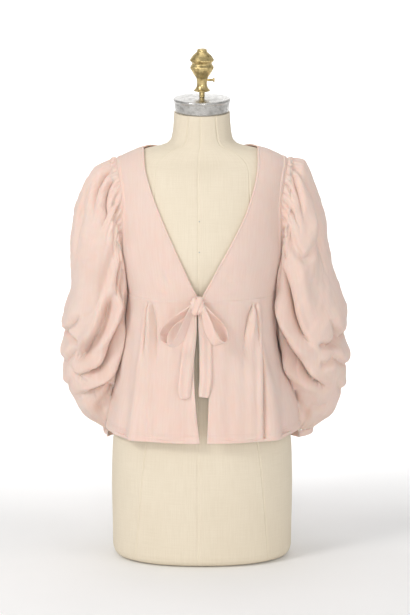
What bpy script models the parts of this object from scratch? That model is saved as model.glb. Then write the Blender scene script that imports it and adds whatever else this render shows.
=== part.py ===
"""A cropped knit cardigan, tied at the front, on a limbless linen dress form.

Units are metres and +Z is up. The origin is the centre of the form's flat base. The front faces -Y,
so the viewer's right is +X. The form and the close cloth are stacks of level sections, the sleeves
are rings carried from the armhole to the cuff, and every piece of cloth is a thin closed wall.
"""

import bmesh
import bpy
import numpy as np
from mathutils import Matrix, Vector

# Cloth and seams
CLOTH = 0.002  # wall of the knit cloth
SEAM = 0.0003  # gap that neighbouring pieces keep
CLEAR = 0.0016  # least room between a sleeve and the cloth beside it, doubled at the cuff
ROUNDNESS = 2.2  # power of the level sections: 2 is an ellipse, more is squarer
LEFT, RIGHT = -1, 1

# The form, by level: height, half width, depth to the front, depth to the back
FORM_LEVELS = (
    (0.0000, 0.1430, 0.0980, 0.1040),
    (0.0040, 0.1540, 0.1080, 0.1140),
    (0.0100, 0.1595, 0.1130, 0.1190),
    (0.0200, 0.1620, 0.1150, 0.1215),
    (0.0600, 0.1625, 0.1155, 0.1220),
    (0.1300, 0.1635, 0.1160, 0.1230),
    (0.2000, 0.1620, 0.1140, 0.1200),
    (0.2600, 0.1530, 0.1080, 0.1110),
    (0.3200, 0.1310, 0.0980, 0.0980),
    (0.3750, 0.1170, 0.0900, 0.0890),
    (0.4200, 0.1190, 0.0920, 0.0900),
    (0.4700, 0.1250, 0.1010, 0.0950),
    (0.5200, 0.1355, 0.1140, 0.1010),
    (0.5600, 0.1430, 0.1210, 0.1050),
    (0.6000, 0.1465, 0.1180, 0.1080),
    (0.6400, 0.1485, 0.1060, 0.1080),
    (0.6750, 0.1510, 0.0940, 0.1040),
    (0.6950, 0.1530, 0.0830, 0.0970),
    (0.7080, 0.1525, 0.0740, 0.0890),
    (0.7165, 0.1490, 0.0660, 0.0820),
    (0.7235, 0.1415, 0.0600, 0.0765),
    (0.7305, 0.1290, 0.0560, 0.0710),
    (0.7365, 0.1140, 0.0530, 0.0670),
    (0.7405, 0.1000, 0.0515, 0.0640),
    (0.7450, 0.0785, 0.0500, 0.0600),
    (0.7500, 0.0630, 0.0490, 0.0560),
    (0.7590, 0.0546, 0.0480, 0.0530),
    (0.7790, 0.0510, 0.0475, 0.0515),
    (0.8060, 0.0492, 0.0475, 0.0500),
)
FORM_COLUMNS = 28
NECK_TILT = 0.11  # radians that the neck's top leans to the front
NECK_LEAN_START = 0.759  # the height above which its rings lean

# How far the bodice's outer face stands off the form: height, side, front, back
BODICE_EASE = (
    (0.4835, 0.0055, 0.0140, 0.0070),
    (0.5200, 0.0050, 0.0070, 0.0060),
    (0.5600, 0.0048, 0.0048, 0.0050),
    (0.7400, 0.0045, 0.0045, 0.0045),
    (0.8100, 0.0045, 0.0045, 0.0045),
)
SHOULDER_LIFT = 0.0031  # how far it lies above them
EMPIRE_Z = 0.4835  # the seam between bodice and peplum
FAN_Z = 0.640  # above this the rows turn about a line through the shoulders
FAN_REACH = 0.090  # arc length that stands for one radian of that turn

# The armhole, an egg seen from the side
ARMHOLE_TOP, ARMHOLE_FOOT = 0.7235, 0.5000
ARMHOLE_FRONT, ARMHOLE_BACK = 0.0540, 0.0600
ARMHOLE_EGG = 0.80  # power of the sine that makes its front and back upright
ARMHOLE_SEAM = 0.0004  # gap between the sleeve and the bodice there
ARMHOLE_STEPS = 14  # straight steps from shoulder to underarm, front or back

# The edge of the V neck: height, distance from the centre on the left, on the right
NECK_EDGE = (
    (0.4835, 0.0090, 0.0020),
    (0.4930, 0.0133, 0.0060),
    (0.5140, 0.0247, 0.0180),
    (0.5480, 0.0397, 0.0357),
    (0.5815, 0.0549, 0.0545),
    (0.6070, 0.0664, 0.0680),
    (0.6340, 0.0780, 0.0810),
    (0.6570, 0.0877, 0.0892),
    (0.6860, 0.0976, 0.0975),
    (0.7130, 0.1046, 0.1020),
    (0.7370, 0.1085, 0.1030),
)
BACK_NECK_DIP = 0.070  # centre back of the neckline below the shoulders

# The peplum's outer face by level: height, half width on the left, on the right, front, back
PEPLUM_LEVELS = (
    (0.2320, 0.1660, 0.1670, 0.1350, 0.1350),
    (0.2800, 0.1615, 0.1640, 0.1325, 0.1290),
    (0.3150, 0.1555, 0.1575, 0.1300, 0.1230),
    (0.3455, 0.1505, 0.1495, 0.1275, 0.1180),
    (0.3860, 0.1440, 0.1395, 0.1245, 0.1125),
    (0.4150, 0.1405, 0.1355, 0.1225, 0.1090),
    (0.4835, 0.1335, 0.1335, 0.1185, 0.1030),
)
HEM_Z = 0.2320
# The peplum's front edges: height, distance from the centre on the left, on the right
FRONT_EDGE = (
    (0.2320, 0.0050, 0.0095),
    (0.3000, 0.0120, 0.0125),
    (0.3600, 0.0145, 0.0135),
    (0.4300, 0.0125, 0.0110),
    (0.4835, 0.0090, 0.0020),
)
# Folds of the peplum, the two front pleats first: turn in degrees from centre front (right is plus),
# half width in degrees at the seam and at the hem, height at the hem, how far it leans to the right,
# power of its growth from seam to hem
PEPLUM_FOLDS = (
    (-44.0, 3.5, 6.5, 0.0095, -0.0030, 0.40),
    (45.0, 3.5, 10.0, 0.0110, 0.0060, 0.40),
    (-101.0, 16.0, 17.0, 0.0090, 0.0, 1.60),
    (99.0, 15.0, 17.0, 0.0125, 0.0, 1.60),
    (-140.0, 9.0, 13.0, 0.0080, 0.0, 1.00),
    (178.0, 9.0, 14.0, 0.0090, 0.0, 0.80),
    (139.0, 9.0, 13.0, 0.0085, 0.0, 1.00),
)

# Each sleeve by ring, from the cap to the cuff: how far along it is (0 to 1), outer edge across and
# up, inner edge across and up, half depth, how far its middle lies behind the shoulder line
LEFT_SLEEVE = (
    (0.08, 0.1620, 0.7180, 0.1400, 0.4960, 0.0640, 0.004),
    (0.16, 0.1850, 0.7095, 0.1345, 0.4850, 0.0710, 0.006),
    (0.24, 0.2020, 0.6930, 0.1325, 0.4730, 0.0770, 0.010),
    (0.32, 0.2140, 0.6650, 0.1320, 0.4610, 0.0810, 0.014),
    (0.40, 0.2245, 0.6320, 0.1320, 0.4490, 0.0840, 0.018),
    (0.48, 0.2305, 0.5900, 0.1320, 0.4370, 0.0850, 0.022),
    (0.55, 0.2335, 0.5450, 0.1320, 0.4250, 0.0850, 0.026),
    (0.62, 0.2370, 0.4950, 0.1325, 0.4110, 0.0840, 0.030),
    (0.69, 0.2490, 0.4490, 0.1340, 0.3950, 0.0830, 0.034),
    (0.76, 0.2520, 0.4000, 0.1360, 0.3750, 0.0810, 0.038),
    (0.82, 0.2540, 0.3500, 0.1390, 0.3500, 0.0780, 0.043),
    (0.88, 0.2490, 0.3080, 0.1400, 0.3190, 0.0730, 0.050),
    (0.93, 0.2310, 0.2770, 0.1390, 0.2850, 0.0650, 0.059),
    (0.97, 0.2090, 0.2480, 0.1350, 0.2500, 0.0540, 0.069),
    (1.00, 0.1800, 0.2180, 0.1320, 0.2170, 0.0430, 0.079),
)
RIGHT_SLEEVE = (
    (0.08, 0.1600, 0.7220, 0.1400, 0.4960, 0.0640, 0.004),
    (0.16, 0.1770, 0.7145, 0.1345, 0.4850, 0.0710, 0.006),
    (0.24, 0.1935, 0.6965, 0.1325, 0.4730, 0.0770, 0.010),
    (0.32, 0.2075, 0.6660, 0.1320, 0.4610, 0.0810, 0.014),
    (0.40, 0.2185, 0.6300, 0.1320, 0.4490, 0.0840, 0.018),
    (0.48, 0.2260, 0.5880, 0.1320, 0.4370, 0.0850, 0.022),
    (0.55, 0.2325, 0.5430, 0.1320, 0.4250, 0.0850, 0.026),
    (0.62, 0.2470, 0.4910, 0.1325, 0.4110, 0.0840, 0.030),
    (0.69, 0.2640, 0.4500, 0.1340, 0.3950, 0.0830, 0.034),
    (0.76, 0.2590, 0.4120, 0.1360, 0.3730, 0.0810, 0.038),
    (0.82, 0.2650, 0.3600, 0.1400, 0.3480, 0.0780, 0.043),
    (0.88, 0.2610, 0.3110, 0.1420, 0.3180, 0.0730, 0.050),
    (0.93, 0.2480, 0.2780, 0.1410, 0.2850, 0.0650, 0.059),
    (0.97, 0.2300, 0.2490, 0.1390, 0.2500, 0.0540, 0.068),
    (1.00, 0.2030, 0.2200, 0.1380, 0.2150, 0.0440, 0.077),
)
SLEEVE_ROWS = 15  # rings after the collar of gathers, armhole to cuff
FIRST_RING = 0.08  # how far along the first of them is
COLLAR = 0.0075  # how far the gathered head stands out from the armhole before it spreads
COLLAR_TURN = 0.0010  # how far it turns into the armhole
COLLAR_SPREAD = 2.0  # how much more it stands out sideways than square to the cloth
LOW_CLEAR = 3.3  # how many clearances more the sleeve keeps from the peplum at the cuff
LOW_FADE = 0.20  # over this last share of the sleeve
GATHER = 0.0016  # height of the small gathers at the head and at the cuff
GATHER_FADE = 0.17  # share of the sleeve over which they fade

# Large folds of the sleeves seen from the front, from upper inner end over a middle point to the
# lower outer end: across and up for each, half width, height (minus is a groove)
LEFT_FOLDS = (
    (0.1457, 0.6095, 0.1634, 0.5448, 0.1848, 0.4620, 0.0085, -0.0060),
    (0.1570, 0.4945, 0.1755, 0.4350, 0.2300, 0.3715, 0.0095, -0.0120),
    (0.1739, 0.4945, 0.1919, 0.4315, 0.2345, 0.3850, 0.0110, 0.0075),
    (0.1478, 0.4945, 0.1679, 0.4260, 0.2079, 0.3650, 0.0100, 0.0080),
    (0.1390, 0.4910, 0.1563, 0.4154, 0.2096, 0.3452, 0.0085, -0.0120),
    (0.1439, 0.4567, 0.1599, 0.3686, 0.2060, 0.3255, 0.0090, 0.0065),
    (0.1563, 0.3506, 0.1759, 0.3237, 0.2203, 0.3075, 0.0085, -0.0090),
    (0.2398, 0.4154, 0.2274, 0.4055, 0.2150, 0.3974, 0.0075, -0.0060),
    (0.1546, 0.3219, 0.1670, 0.2985, 0.1865, 0.2787, 0.0100, -0.0070),
)
RIGHT_FOLDS = (
    (0.1468, 0.5304, 0.1663, 0.4504, 0.2043, 0.3913, 0.0085, -0.0110),
    (0.2043, 0.3913, 0.2292, 0.3940, 0.2470, 0.4154, 0.0080, -0.0090),
    (0.1421, 0.4945, 0.1617, 0.4225, 0.2061, 0.3650, 0.0100, 0.0080),
    (0.1368, 0.4549, 0.1581, 0.3866, 0.2140, 0.3250, 0.0085, -0.0120),
    (0.2096, 0.3614, 0.2274, 0.3632, 0.2398, 0.3776, 0.0075, -0.0060),
    (0.1439, 0.3830, 0.1688, 0.3434, 0.2132, 0.3110, 0.0090, 0.0065),
    (0.1400, 0.4000, 0.1510, 0.3596, 0.1794, 0.3219, 0.0085, -0.0080),
    (0.1848, 0.6940, 0.2096, 0.6060, 0.2096, 0.5120, 0.0110, -0.0060),
    (0.1546, 0.5934, 0.1759, 0.5556, 0.1990, 0.5680, 0.0085, -0.0060),
)
BACK_FOLD_SHARE = 0.8  # height of the folds behind, which follow the other sleeve's table

# Steps of the grids
BODICE_COLUMNS = 7
STRAP_COLUMNS = 3  # columns of the back along each shoulder seam
NECK_COLUMNS = 18  # and along its neckline
PEPLUM_ROWS = 9
PEPLUM_BACK_COLUMNS = 26
PLEAT_COLUMNS = (-11.0, -7.0, -4.0, -1.5, 1.0, 3.5, 6.5, 10.0, 14.0)  # degrees from the pleat's crest

CUFF_DEPTH = 0.0130  # height of the cuff band
CUFF_DROP = 0.0010  # how far its top lies under the sleeve's last ring
CUFF_TAPER = 0.98  # size of its foot against its top
BINDING_HALF_WIDTH, BINDING_HALF_THICK = 0.0019, 0.0014

# The tie: a flat strip knotted at the centre of the empire seam
TIE_WIDTH, TIE_THICK = 0.0205, 0.0018
KNOT_CENTRE = (-0.0080, -0.1302, 0.4765)
KNOT_HALF = (0.0130, 0.0080, 0.0150)
# Each loop: side, length, widest opening, turn of its length from straight down, turn about it
TIE_LOOPS = (
    ("tie_loop_left", LEFT, 0.0780, 0.0210, 40.0, 38.0),
    ("tie_loop_right", RIGHT, 0.0700, 0.0150, 40.0, 24.0),
)
LOOP_STEPS = 20
LOOP_ROOT = 0.0042  # how far outside the knot's side a loop starts
LOOP_PINCH = 0.50  # share of the strip's width at the knot
LOOP_CLEAR = 0.0034  # least room between a loop and the cloth behind it
TAIL_STEPS = 9
TAIL_CLEAR = 0.0005  # least room between a tail and the cloth behind it, above the seam gap
# Each tail by height: height, distance of its middle from the centre, half width
TIE_TAILS = (
    ("tie_tail_left", ((0.4700, -0.0155, 0.0062), (0.4300, -0.0190, 0.0095), (0.3900, -0.0240, 0.0110),
                       (0.3500, -0.0290, 0.0120), (0.3130, -0.0300, 0.0125))),
    ("tie_tail_right", ((0.4700, -0.0008, 0.0062), (0.4300, 0.0040, 0.0095), (0.3900, 0.0065, 0.0105),
                        (0.3500, 0.0065, 0.0105), (0.3150, 0.0035, 0.0098))),
)

# The form's metal top, turned about its own axis: radius, height above the band's foot
CAP_FOOT = (0.0, 0.0010, 0.8065)
CAP_PROFILE = ((0.0470, 0.0000), (0.0476, 0.0020), (0.0496, 0.0180), (0.0508, 0.0205),
               (0.0508, 0.0225), (0.0490, 0.0240), (0.0200, 0.0252))
CAP_CREST = 0.0255  # height of the cap's middle
STEM_RADIUS, STEM_TOP = 0.0048, 0.0362
FINIAL_FOOT = 0.0365
FINIAL_PROFILE = ((0.0135, 0.0000), (0.0141, 0.0022), (0.0115, 0.0050), (0.0091, 0.0110),
                  (0.0094, 0.0190), (0.0104, 0.0240), (0.0149, 0.0305), (0.0190, 0.0375),
                  (0.0205, 0.0425), (0.0200, 0.0455), (0.0183, 0.0490), (0.0183, 0.0510),
                  (0.0208, 0.0550), (0.0200, 0.0590), (0.0163, 0.0640), (0.0120, 0.0680),
                  (0.0088, 0.0710), (0.0086, 0.0755))
SCREW_HEIGHT, SCREW_RADIUS = 0.0200, 0.0021
SCREW_START, SCREW_REACH = 0.0101, 0.0125  # distance from the axis, and length from there
SCREW_HEAD_RADIUS, SCREW_HEAD = 0.0036, 0.0030


def curve_through(table, at):
    """Values of a table between its rows, smooth and with no overshoot.

    The first column is the key. Each slope is the harmonic mean of the slopes beside it, or zero
    at a peak, and cubic pieces join the rows.
    """
    table = np.asarray(table, float)
    keys, values = table[:, 0], table[:, 1:]
    at = np.clip(np.asarray(at, float), keys[0], keys[-1])
    rises = np.diff(values, axis=0) / np.diff(keys)[:, None]
    before, after = rises[:-1], rises[1:]
    total = np.where(before * after > 0, before + after, 1.0)
    middle = np.where(before * after > 0, 2 * before * after / total, 0.0)
    slopes = np.vstack([rises[:1], middle, rises[-1:]])
    row = np.clip(np.searchsorted(keys, at, side="right") - 1, 0, len(keys) - 2)
    span = (keys[row + 1] - keys[row])[..., None]
    s = (at - keys[row])[..., None] / span
    return (values[row] * (1 + 2 * s) * (1 - s) ** 2 + values[row + 1] * s**2 * (3 - 2 * s)
            + slopes[row] * span * s * (1 - s) ** 2 - slopes[row + 1] * span * s**2 * (1 - s))


def ease_in(value, start, end):
    """0 before start, 1 after end, and a smooth step between."""
    s = np.clip((value - start) / (end - start), 0.0, 1.0)
    return s * s * (3 - 2 * s)


def unit(vectors):
    """The vectors at length 1."""
    return vectors / np.linalg.norm(vectors, axis=-1, keepdims=True)


def signed_power(values, power):
    """Each value's size raised to a power, with its own sign kept."""
    return np.sign(values) * np.abs(values) ** power


def form_level(height):
    """The form's half width and its depths to front and back at a height."""
    return curve_through(FORM_LEVELS, height)


def bodice_level(height):
    """The same three sizes for the bodice's outer face, which also lies a little above the shoulders."""
    lift = SHOULDER_LIFT * ease_in(height, FAN_Z, ARMHOLE_TOP)
    return form_level(height - lift) + curve_through(BODICE_EASE, height)


def peplum_level(height, across):
    """The same three sizes for the peplum, whose half width differs on its two sides."""
    left, right, front, back = np.moveaxis(curve_through(PEPLUM_LEVELS, height), -1, 0)
    return np.stack([np.where(across < 0, left, right), front, back], axis=-1)


def on_level(turn, height, level):
    """Points of a level section: turn is from centre front, plus to the right."""
    across = signed_power(np.sin(turn), 2 / ROUNDNESS) * level[..., 0]
    ahead = signed_power(np.cos(turn), 2 / ROUNDNESS)
    deep = np.where(ahead > 0, level[..., 1], level[..., 2])
    return np.stack([across, -ahead * deep, height + 0 * across], axis=-1)


def side_of_level(deep, level):
    """How far out a level section is at this distance before or behind its middle."""
    depth = np.where(deep < 0, level[..., 1], level[..., 2])
    inside = np.clip(1 - (np.abs(deep) / depth) ** ROUNDNESS, 0, 1)
    return level[..., 0] * inside ** (1 / ROUNDNESS)


def front_of_level(across, level):
    """How far forward a level section is at this distance from its middle."""
    inside = np.clip(1 - (np.abs(across) / level[..., 0]) ** ROUNDNESS, 0, 1)
    return level[..., 1] * inside ** (1 / ROUNDNESS)


def bodice_value(points):
    """Below 0 inside the bodice's outer face and above 0 outside it."""
    across, deep, height = np.moveaxis(points, -1, 0)
    level = bodice_level(height)
    depth = np.where(deep < 0, level[..., 1], level[..., 2])
    return (np.abs(across) / level[..., 0]) ** ROUNDNESS + (np.abs(deep) / depth) ** ROUNDNESS - 1


def bodice_normal(points):
    """Outward directions of the bodice's outer face, from the slope of its value."""
    step = 1e-4
    slopes = [bodice_value(points + step * axis) - bodice_value(points - step * axis)
              for axis in np.eye(3)]
    return unit(np.stack(slopes, axis=-1))


FAN_WIDTH = float(bodice_level(FAN_Z)[0])
RIDGE = FAN_Z + FAN_REACH * np.pi / 2  # the row that runs along the shoulders


def bodice_point(turn, row):
    """A point of the bodice's outer face.

    Up to FAN_Z a row is its own height. Above it the rows fan out about the line through the
    shoulders at that height, and each point is where its ray leaves the section stack.
    """
    turn, row = np.broadcast_arrays(np.asarray(turn, float), np.asarray(row, float))
    low = np.minimum(row, FAN_Z)
    level_points = on_level(turn, low, bodice_level(low))
    rise = np.clip((row - FAN_Z) / FAN_REACH, 0, np.pi / 2)
    across = signed_power(np.sin(turn), 2 / ROUNDNESS) * FAN_WIDTH
    facing = np.where(np.cos(turn) > 0, -1.0, 1.0)
    ray = np.stack([0 * rise, facing * np.cos(rise), np.sin(rise)], axis=-1)
    start = np.stack([across, 0 * across, FAN_Z + 0 * across], axis=-1)
    near, far = np.zeros_like(rise), np.full_like(rise, 0.16)
    for _ in range(40):
        half = (near + far) / 2
        outside = bodice_value(start + half[..., None] * ray) > 0
        near, far = np.where(outside, near, half), np.where(outside, half, far)
    fan_points = start + near[..., None] * ray
    return np.where((row > FAN_Z)[..., None], fan_points, level_points)


def row_of(points):
    """The turn and row of points of the bodice's outer face."""
    across, deep, height = np.moveaxis(points, -1, 0)
    width = np.where(height > FAN_Z, FAN_WIDTH, bodice_level(height)[..., 0])
    turn = np.arcsin(np.clip((np.abs(across) / width) ** (ROUNDNESS / 2), 0, 1))
    turn = np.where(deep > 0, np.pi - turn, turn) * np.sign(across)
    rise = np.arctan2(height - FAN_Z, np.abs(deep))
    return turn, np.where(height > FAN_Z, FAN_Z + FAN_REACH * rise, height)


def armhole(side):
    """The armhole's corners, from the shoulder over the front to the underarm and up the back.

    It gives the points on the bodice's outer face, the directions out of that face, and the
    directions along the face into the hole.
    """
    angle = np.linspace(0, 2 * np.pi, 2 * ARMHOLE_STEPS, endpoint=False)
    reach = np.where(np.sin(angle) > 0, ARMHOLE_FRONT, ARMHOLE_BACK)
    deep = -reach * signed_power(np.sin(angle).round(9), ARMHOLE_EGG)
    middle, half = (ARMHOLE_TOP + ARMHOLE_FOOT) / 2, (ARMHOLE_TOP - ARMHOLE_FOOT) / 2
    height = middle + half * np.cos(angle)
    across = side * side_of_level(deep, bodice_level(height))
    points = np.stack([across, deep, height], axis=-1)
    outward = bodice_normal(points)
    inward = np.array([side * FAN_WIDTH, 0, middle]) - points
    inward -= (inward * outward).sum(-1, keepdims=True) * outward
    return points, outward, unit(inward)


def grid_normals(grid, closed):
    """Directions out of a grid's face, from the differences of its rows and columns."""
    down = np.gradient(grid, axis=0)
    if closed:
        along = np.roll(grid, -1, axis=1) - np.roll(grid, 1, axis=1)
    else:
        along = np.gradient(grid, axis=1)
    return unit(np.cross(along, down))


def material(name, colour, roughness, metallic=0.0):
    """A plain material for one kind of surface."""
    made = bpy.data.materials.new(name)
    made.use_nodes = True
    shader = made.node_tree.nodes["Principled BSDF"]
    shader.inputs["Base Color"].default_value = (*colour, 1.0)
    shader.inputs["Roughness"].default_value = roughness
    shader.inputs["Metallic"].default_value = metallic
    return made


def add_object(name, points, faces, finish):
    """An object from points and faces, with its faces turned outwards."""
    mesh = bpy.data.meshes.new(name)
    mesh.from_pydata([tuple(p) for p in points], [], faces)
    shape = bmesh.new()
    shape.from_mesh(mesh)
    bmesh.ops.recalc_face_normals(shape, faces=shape.faces)
    shape.to_mesh(mesh)
    shape.free()
    mesh.shade_smooth()
    mesh.set_sharp_from_angle(angle=np.radians(50))
    mesh.materials.append(finish)
    made = bpy.data.objects.new(name, mesh)
    bpy.context.scene.collection.objects.link(made)
    return made


def add_wall(name, outer, inner, closed, finish):
    """A thin wall between two grids of the same size. A closed one joins its last column to its first."""
    rows, columns = outer.shape[:2]
    index = np.arange(rows * columns).reshape(rows, columns)
    offset = rows * columns
    if closed:
        index = np.hstack([index, index[:, :1]])
    faces = []
    for r in range(rows - 1):
        for c in range(index.shape[1] - 1):
            a, b, d, e = index[r, c], index[r, c + 1], index[r + 1, c + 1], index[r + 1, c]
            faces.append((a, b, d, e))
            faces.append((offset + a, offset + e, offset + d, offset + b))
    rims = [index[0], index[-1]] if closed else [np.concatenate([index[0], index[1:, -1],
            index[-1, -2::-1], index[-2::-1, 0]])]
    for rim in rims:
        for a, b in zip(rim[:-1], rim[1:]):
            faces.append((a, b, offset + b, offset + a))
    points = np.vstack([outer.reshape(-1, 3), inner.reshape(-1, 3)])
    return add_object(name, points, [tuple(int(i) for i in face) for face in faces], finish)


def add_turned(name, profile, foot, top, finish, steps=24):
    """A solid turned about the leaning axis of the form's top. Heights are along that axis."""
    angle = np.linspace(0, 2 * np.pi, steps, endpoint=False)
    radius, height = np.array(profile).T
    rings = np.stack([radius[:, None] * np.cos(angle), radius[:, None] * np.sin(angle),
                      height[:, None] + foot + 0 * angle], axis=-1)
    points = np.vstack([rings.reshape(-1, 3), [[0, 0, height[0] + foot], [0, 0, top + foot]]])
    faces = []
    for c in range(steps):
        d = (c + 1) % steps
        for r in range(len(radius) - 1):
            faces.append((r * steps + c, r * steps + d, (r + 1) * steps + d, (r + 1) * steps + c))
        last = (len(radius) - 1) * steps
        faces.append((d, c, len(points) - 2))
        faces.append((last + c, last + d, len(points) - 1))
    made = add_object(name, points, faces, finish)
    made.matrix_world = Matrix.Translation(Vector(CAP_FOOT)) @ Matrix.Rotation(NECK_TILT, 4, "X")
    return made


def neck_edge(side, row):
    """Turn of the V neck's edge at rows of the bodice."""
    table = np.array(NECK_EDGE)
    across = side * table[:, 1 if side == LEFT else 2]
    deep = -front_of_level(across, bodice_level(table[:, 0]))
    turn, key = row_of(np.stack([across, deep, table[:, 0]], axis=-1))
    key[-1] = RIDGE
    return curve_through(np.stack([key, turn], axis=-1), row)[..., 0]


def side_edge(side, behind):
    """Turn and row down one edge of a bodice panel: its armhole, then its side seam."""
    corners = armhole(side)[0]
    order = np.arange(ARMHOLE_STEPS + 1) * (-1 if behind else 1)
    turn, row = row_of(corners[order])
    turn[0] = side * (np.pi - abs(turn[0])) if behind else turn[0]
    half_gap = SEAM / 2 / FAN_WIDTH * (1 if behind else -1)
    turn[-1] = side * (np.pi / 2 + half_gap)
    row[0] = RIDGE - SEAM
    return np.append(turn, turn[-1]), np.append(row, EMPIRE_Z + SEAM / 2), corners[order[1:-1]]


def bodice_front_grid(side):
    """Outer points of a front, from the V neck's edge to the armhole and the side seam."""
    turn, row, corners = side_edge(side, behind=False)
    even = np.linspace(0, 1, len(row))
    fall = (row[0] - row) / (row[0] - row[-1])
    neck_row = row[0] - (row[0] - row[-1]) * (0.6 * even + 0.4 * fall)
    share = np.linspace(0, 1, BODICE_COLUMNS + 1)
    turns = neck_edge(side, neck_row)[:, None] * (1 - share) + turn[:, None] * share
    rows = neck_row[:, None] * (1 - share) + row[:, None] * share
    points = bodice_point(turns, rows)
    points[1:-2, -1] = corners
    return points


def back_neckline(steps):
    """Turn and row of the back neckline, from the left strap round its low middle to the right one."""
    swing = np.linspace(-1, 1, steps)
    left, right = -neck_edge(LEFT, RIDGE), neck_edge(RIGHT, RIDGE)
    turn = np.pi - np.where(swing < 0, left, right) * signed_power(swing, 0.85)
    row = RIDGE - SEAM - BACK_NECK_DIP * (1 - np.abs(swing) ** 2.6)
    return turn, row


def bodice_back_grid():
    """Outer points of the back: rows run from the shoulders and the neckline down to the lower edge.

    Each point is its place between the four edges: the sum of the blend from top to bottom and of
    what the armhole beside it adds to that blend, less as it is further from it.
    """
    left_turn, left_row, left_corners = side_edge(LEFT, behind=True)
    right_turn, _, right_corners = side_edge(RIGHT, behind=True)
    left_turn = left_turn + 2 * np.pi
    neck_turn, neck_row = back_neckline(NECK_COLUMNS + 1)
    strap = np.linspace(0, 1, STRAP_COLUMNS + 1)[:-1]
    left_seam = left_turn[0] + (neck_turn[0] - left_turn[0]) * strap
    right_seam = right_turn[0] + (neck_turn[-1] - right_turn[0]) * strap
    top = np.concatenate([left_seam, neck_turn, right_seam[::-1]])
    dip = np.pad(neck_row - left_row[0], STRAP_COLUMNS)
    across = np.linspace(0, 1, len(top))
    foot = left_turn[-1] + (right_turn[-1] - left_turn[-1]) * across
    down = ((left_row[0] - left_row) / (left_row[0] - left_row[-1]))[:, None]
    left = left_turn[:, None] - (left_turn[0] * (1 - down) + left_turn[-1] * down)
    right = right_turn[:, None] - (right_turn[0] * (1 - down) + right_turn[-1] * down)
    turn = top * (1 - down) + foot * down + left * (1 - across) + right * across
    points = bodice_point(turn, left_row[:, None] + dip * (1 - down))
    points[1:-2, 0], points[1:-2, -1] = left_corners, right_corners
    return points


def peplum_fold(turn, height):
    """How far the peplum's folds stand out, and how far they lean to the right, at a place."""
    fallen = np.clip((EMPIRE_Z - height) / (EMPIRE_Z - HEM_Z), 0, 1)
    out, lean = 0 * turn, 0 * turn
    for centre, top_width, hem_width, rise, sideways, growth in PEPLUM_FOLDS:
        away = np.degrees((turn - np.radians(centre) + np.pi) % (2 * np.pi) - np.pi)
        width = top_width + (hem_width - top_width) * fallen**0.6
        bump = np.exp(-((away / width) ** 2)) * fallen**growth
        out = out + rise * bump
        lean = lean + sideways * bump
    return out, lean


def peplum_point(turn, height):
    """A point of the peplum's outer face: its level section, moved out and sideways by the folds."""
    turn, height = np.broadcast_arrays(np.asarray(turn, float), np.asarray(height, float))
    level = peplum_level(height, np.sin(turn))
    points = on_level(turn, height, level)
    depth = np.where(points[..., 1] < 0, level[..., 1], level[..., 2])
    out = unit(np.stack([signed_power(points[..., 0] / level[..., 0], ROUNDNESS - 1) / level[..., 0],
                         signed_power(points[..., 1] / depth, ROUNDNESS - 1) / depth,
                         0 * height], axis=-1))
    aside = np.stack([-out[..., 1], out[..., 0], 0 * height], axis=-1)
    rise, lean = peplum_fold(turn, height)
    return points + out * rise[..., None] + aside * lean[..., None]


def peplum_front_grid(side):
    """Outer points of a peplum front, with its columns closest together at the pleat."""
    height = np.linspace(EMPIRE_Z - SEAM / 2, HEM_Z, PEPLUM_ROWS + 1)
    edge = curve_through(FRONT_EDGE, height)[:, 0 if side == LEFT else 1]
    edge = (edge / peplum_level(height, side + 0 * height)[:, 0]) ** (ROUNDNESS / 2)
    pleat = np.radians(abs(PEPLUM_FOLDS[0 if side == LEFT else 1][0]))
    near = pleat + np.radians(PLEAT_COLUMNS)
    seam = np.pi / 2 - SEAM / 2 / FAN_WIDTH
    share = np.linspace(0, 1, 4)[:-1]
    before = edge[:, None] * (1 - share) + near[0] * share
    after = np.linspace(near[-1], seam, 6)[1:]
    turn = np.hstack([before, np.tile(near, (len(height), 1)), np.tile(after, (len(height), 1))])
    return peplum_point(side * turn, height[:, None])


def peplum_back_grid():
    """Outer points of the peplum's back, from the left side seam to the right one."""
    height = np.linspace(EMPIRE_Z - SEAM / 2, HEM_Z, PEPLUM_ROWS + 1)
    seam = np.pi / 2 + SEAM / 2 / FAN_WIDTH
    turn = np.linspace(2 * np.pi - seam, seam, PEPLUM_BACK_COLUMNS + 1)
    return peplum_point(turn, height[:, None])


def body_side(deep, height):
    """How far out the cloth beside a sleeve reaches, on the right and on the left."""
    reach = []
    for side in (RIGHT, LEFT):
        low = np.clip(height, HEM_Z, EMPIRE_Z)
        level = peplum_level(low, side + 0 * low)
        across = side_of_level(deep, level)
        turn = np.arctan2(side * across, -deep * level[..., 0] / level[..., 1])
        skirt = across + peplum_fold(turn, low)[0]
        reach.append(np.where(height > EMPIRE_Z, side_of_level(deep, bodice_level(height)), skirt))
    return reach


def fold_height(points, table):
    """Sum of a table's folds at points seen from the front: each is a smooth ridge along a curve."""
    total = np.zeros(points.shape[:-1])
    step = np.linspace(0, 1, 13)[:, None]
    for x0, z0, x1, z1, x2, z2, half_width, rise in table:
        bend = 2 * np.array([x1, z1]) - (np.array([x0, z0]) + np.array([x2, z2])) / 2
        path = ((1 - step) ** 2 * (x0, z0) + 2 * step * (1 - step) * bend + step**2 * (x2, z2))
        gap = points[..., None, :] - path
        near = (gap**2).sum(-1).min(-1)
        total += rise * np.exp(-near / half_width**2)
    return total


def with_middles(values):
    """The values round a closed loop with the middle of each step put in between."""
    middles = (values + np.roll(values, -1, axis=0)) / 2
    return np.stack([values, middles], axis=1).reshape(-1, values.shape[-1])


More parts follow.
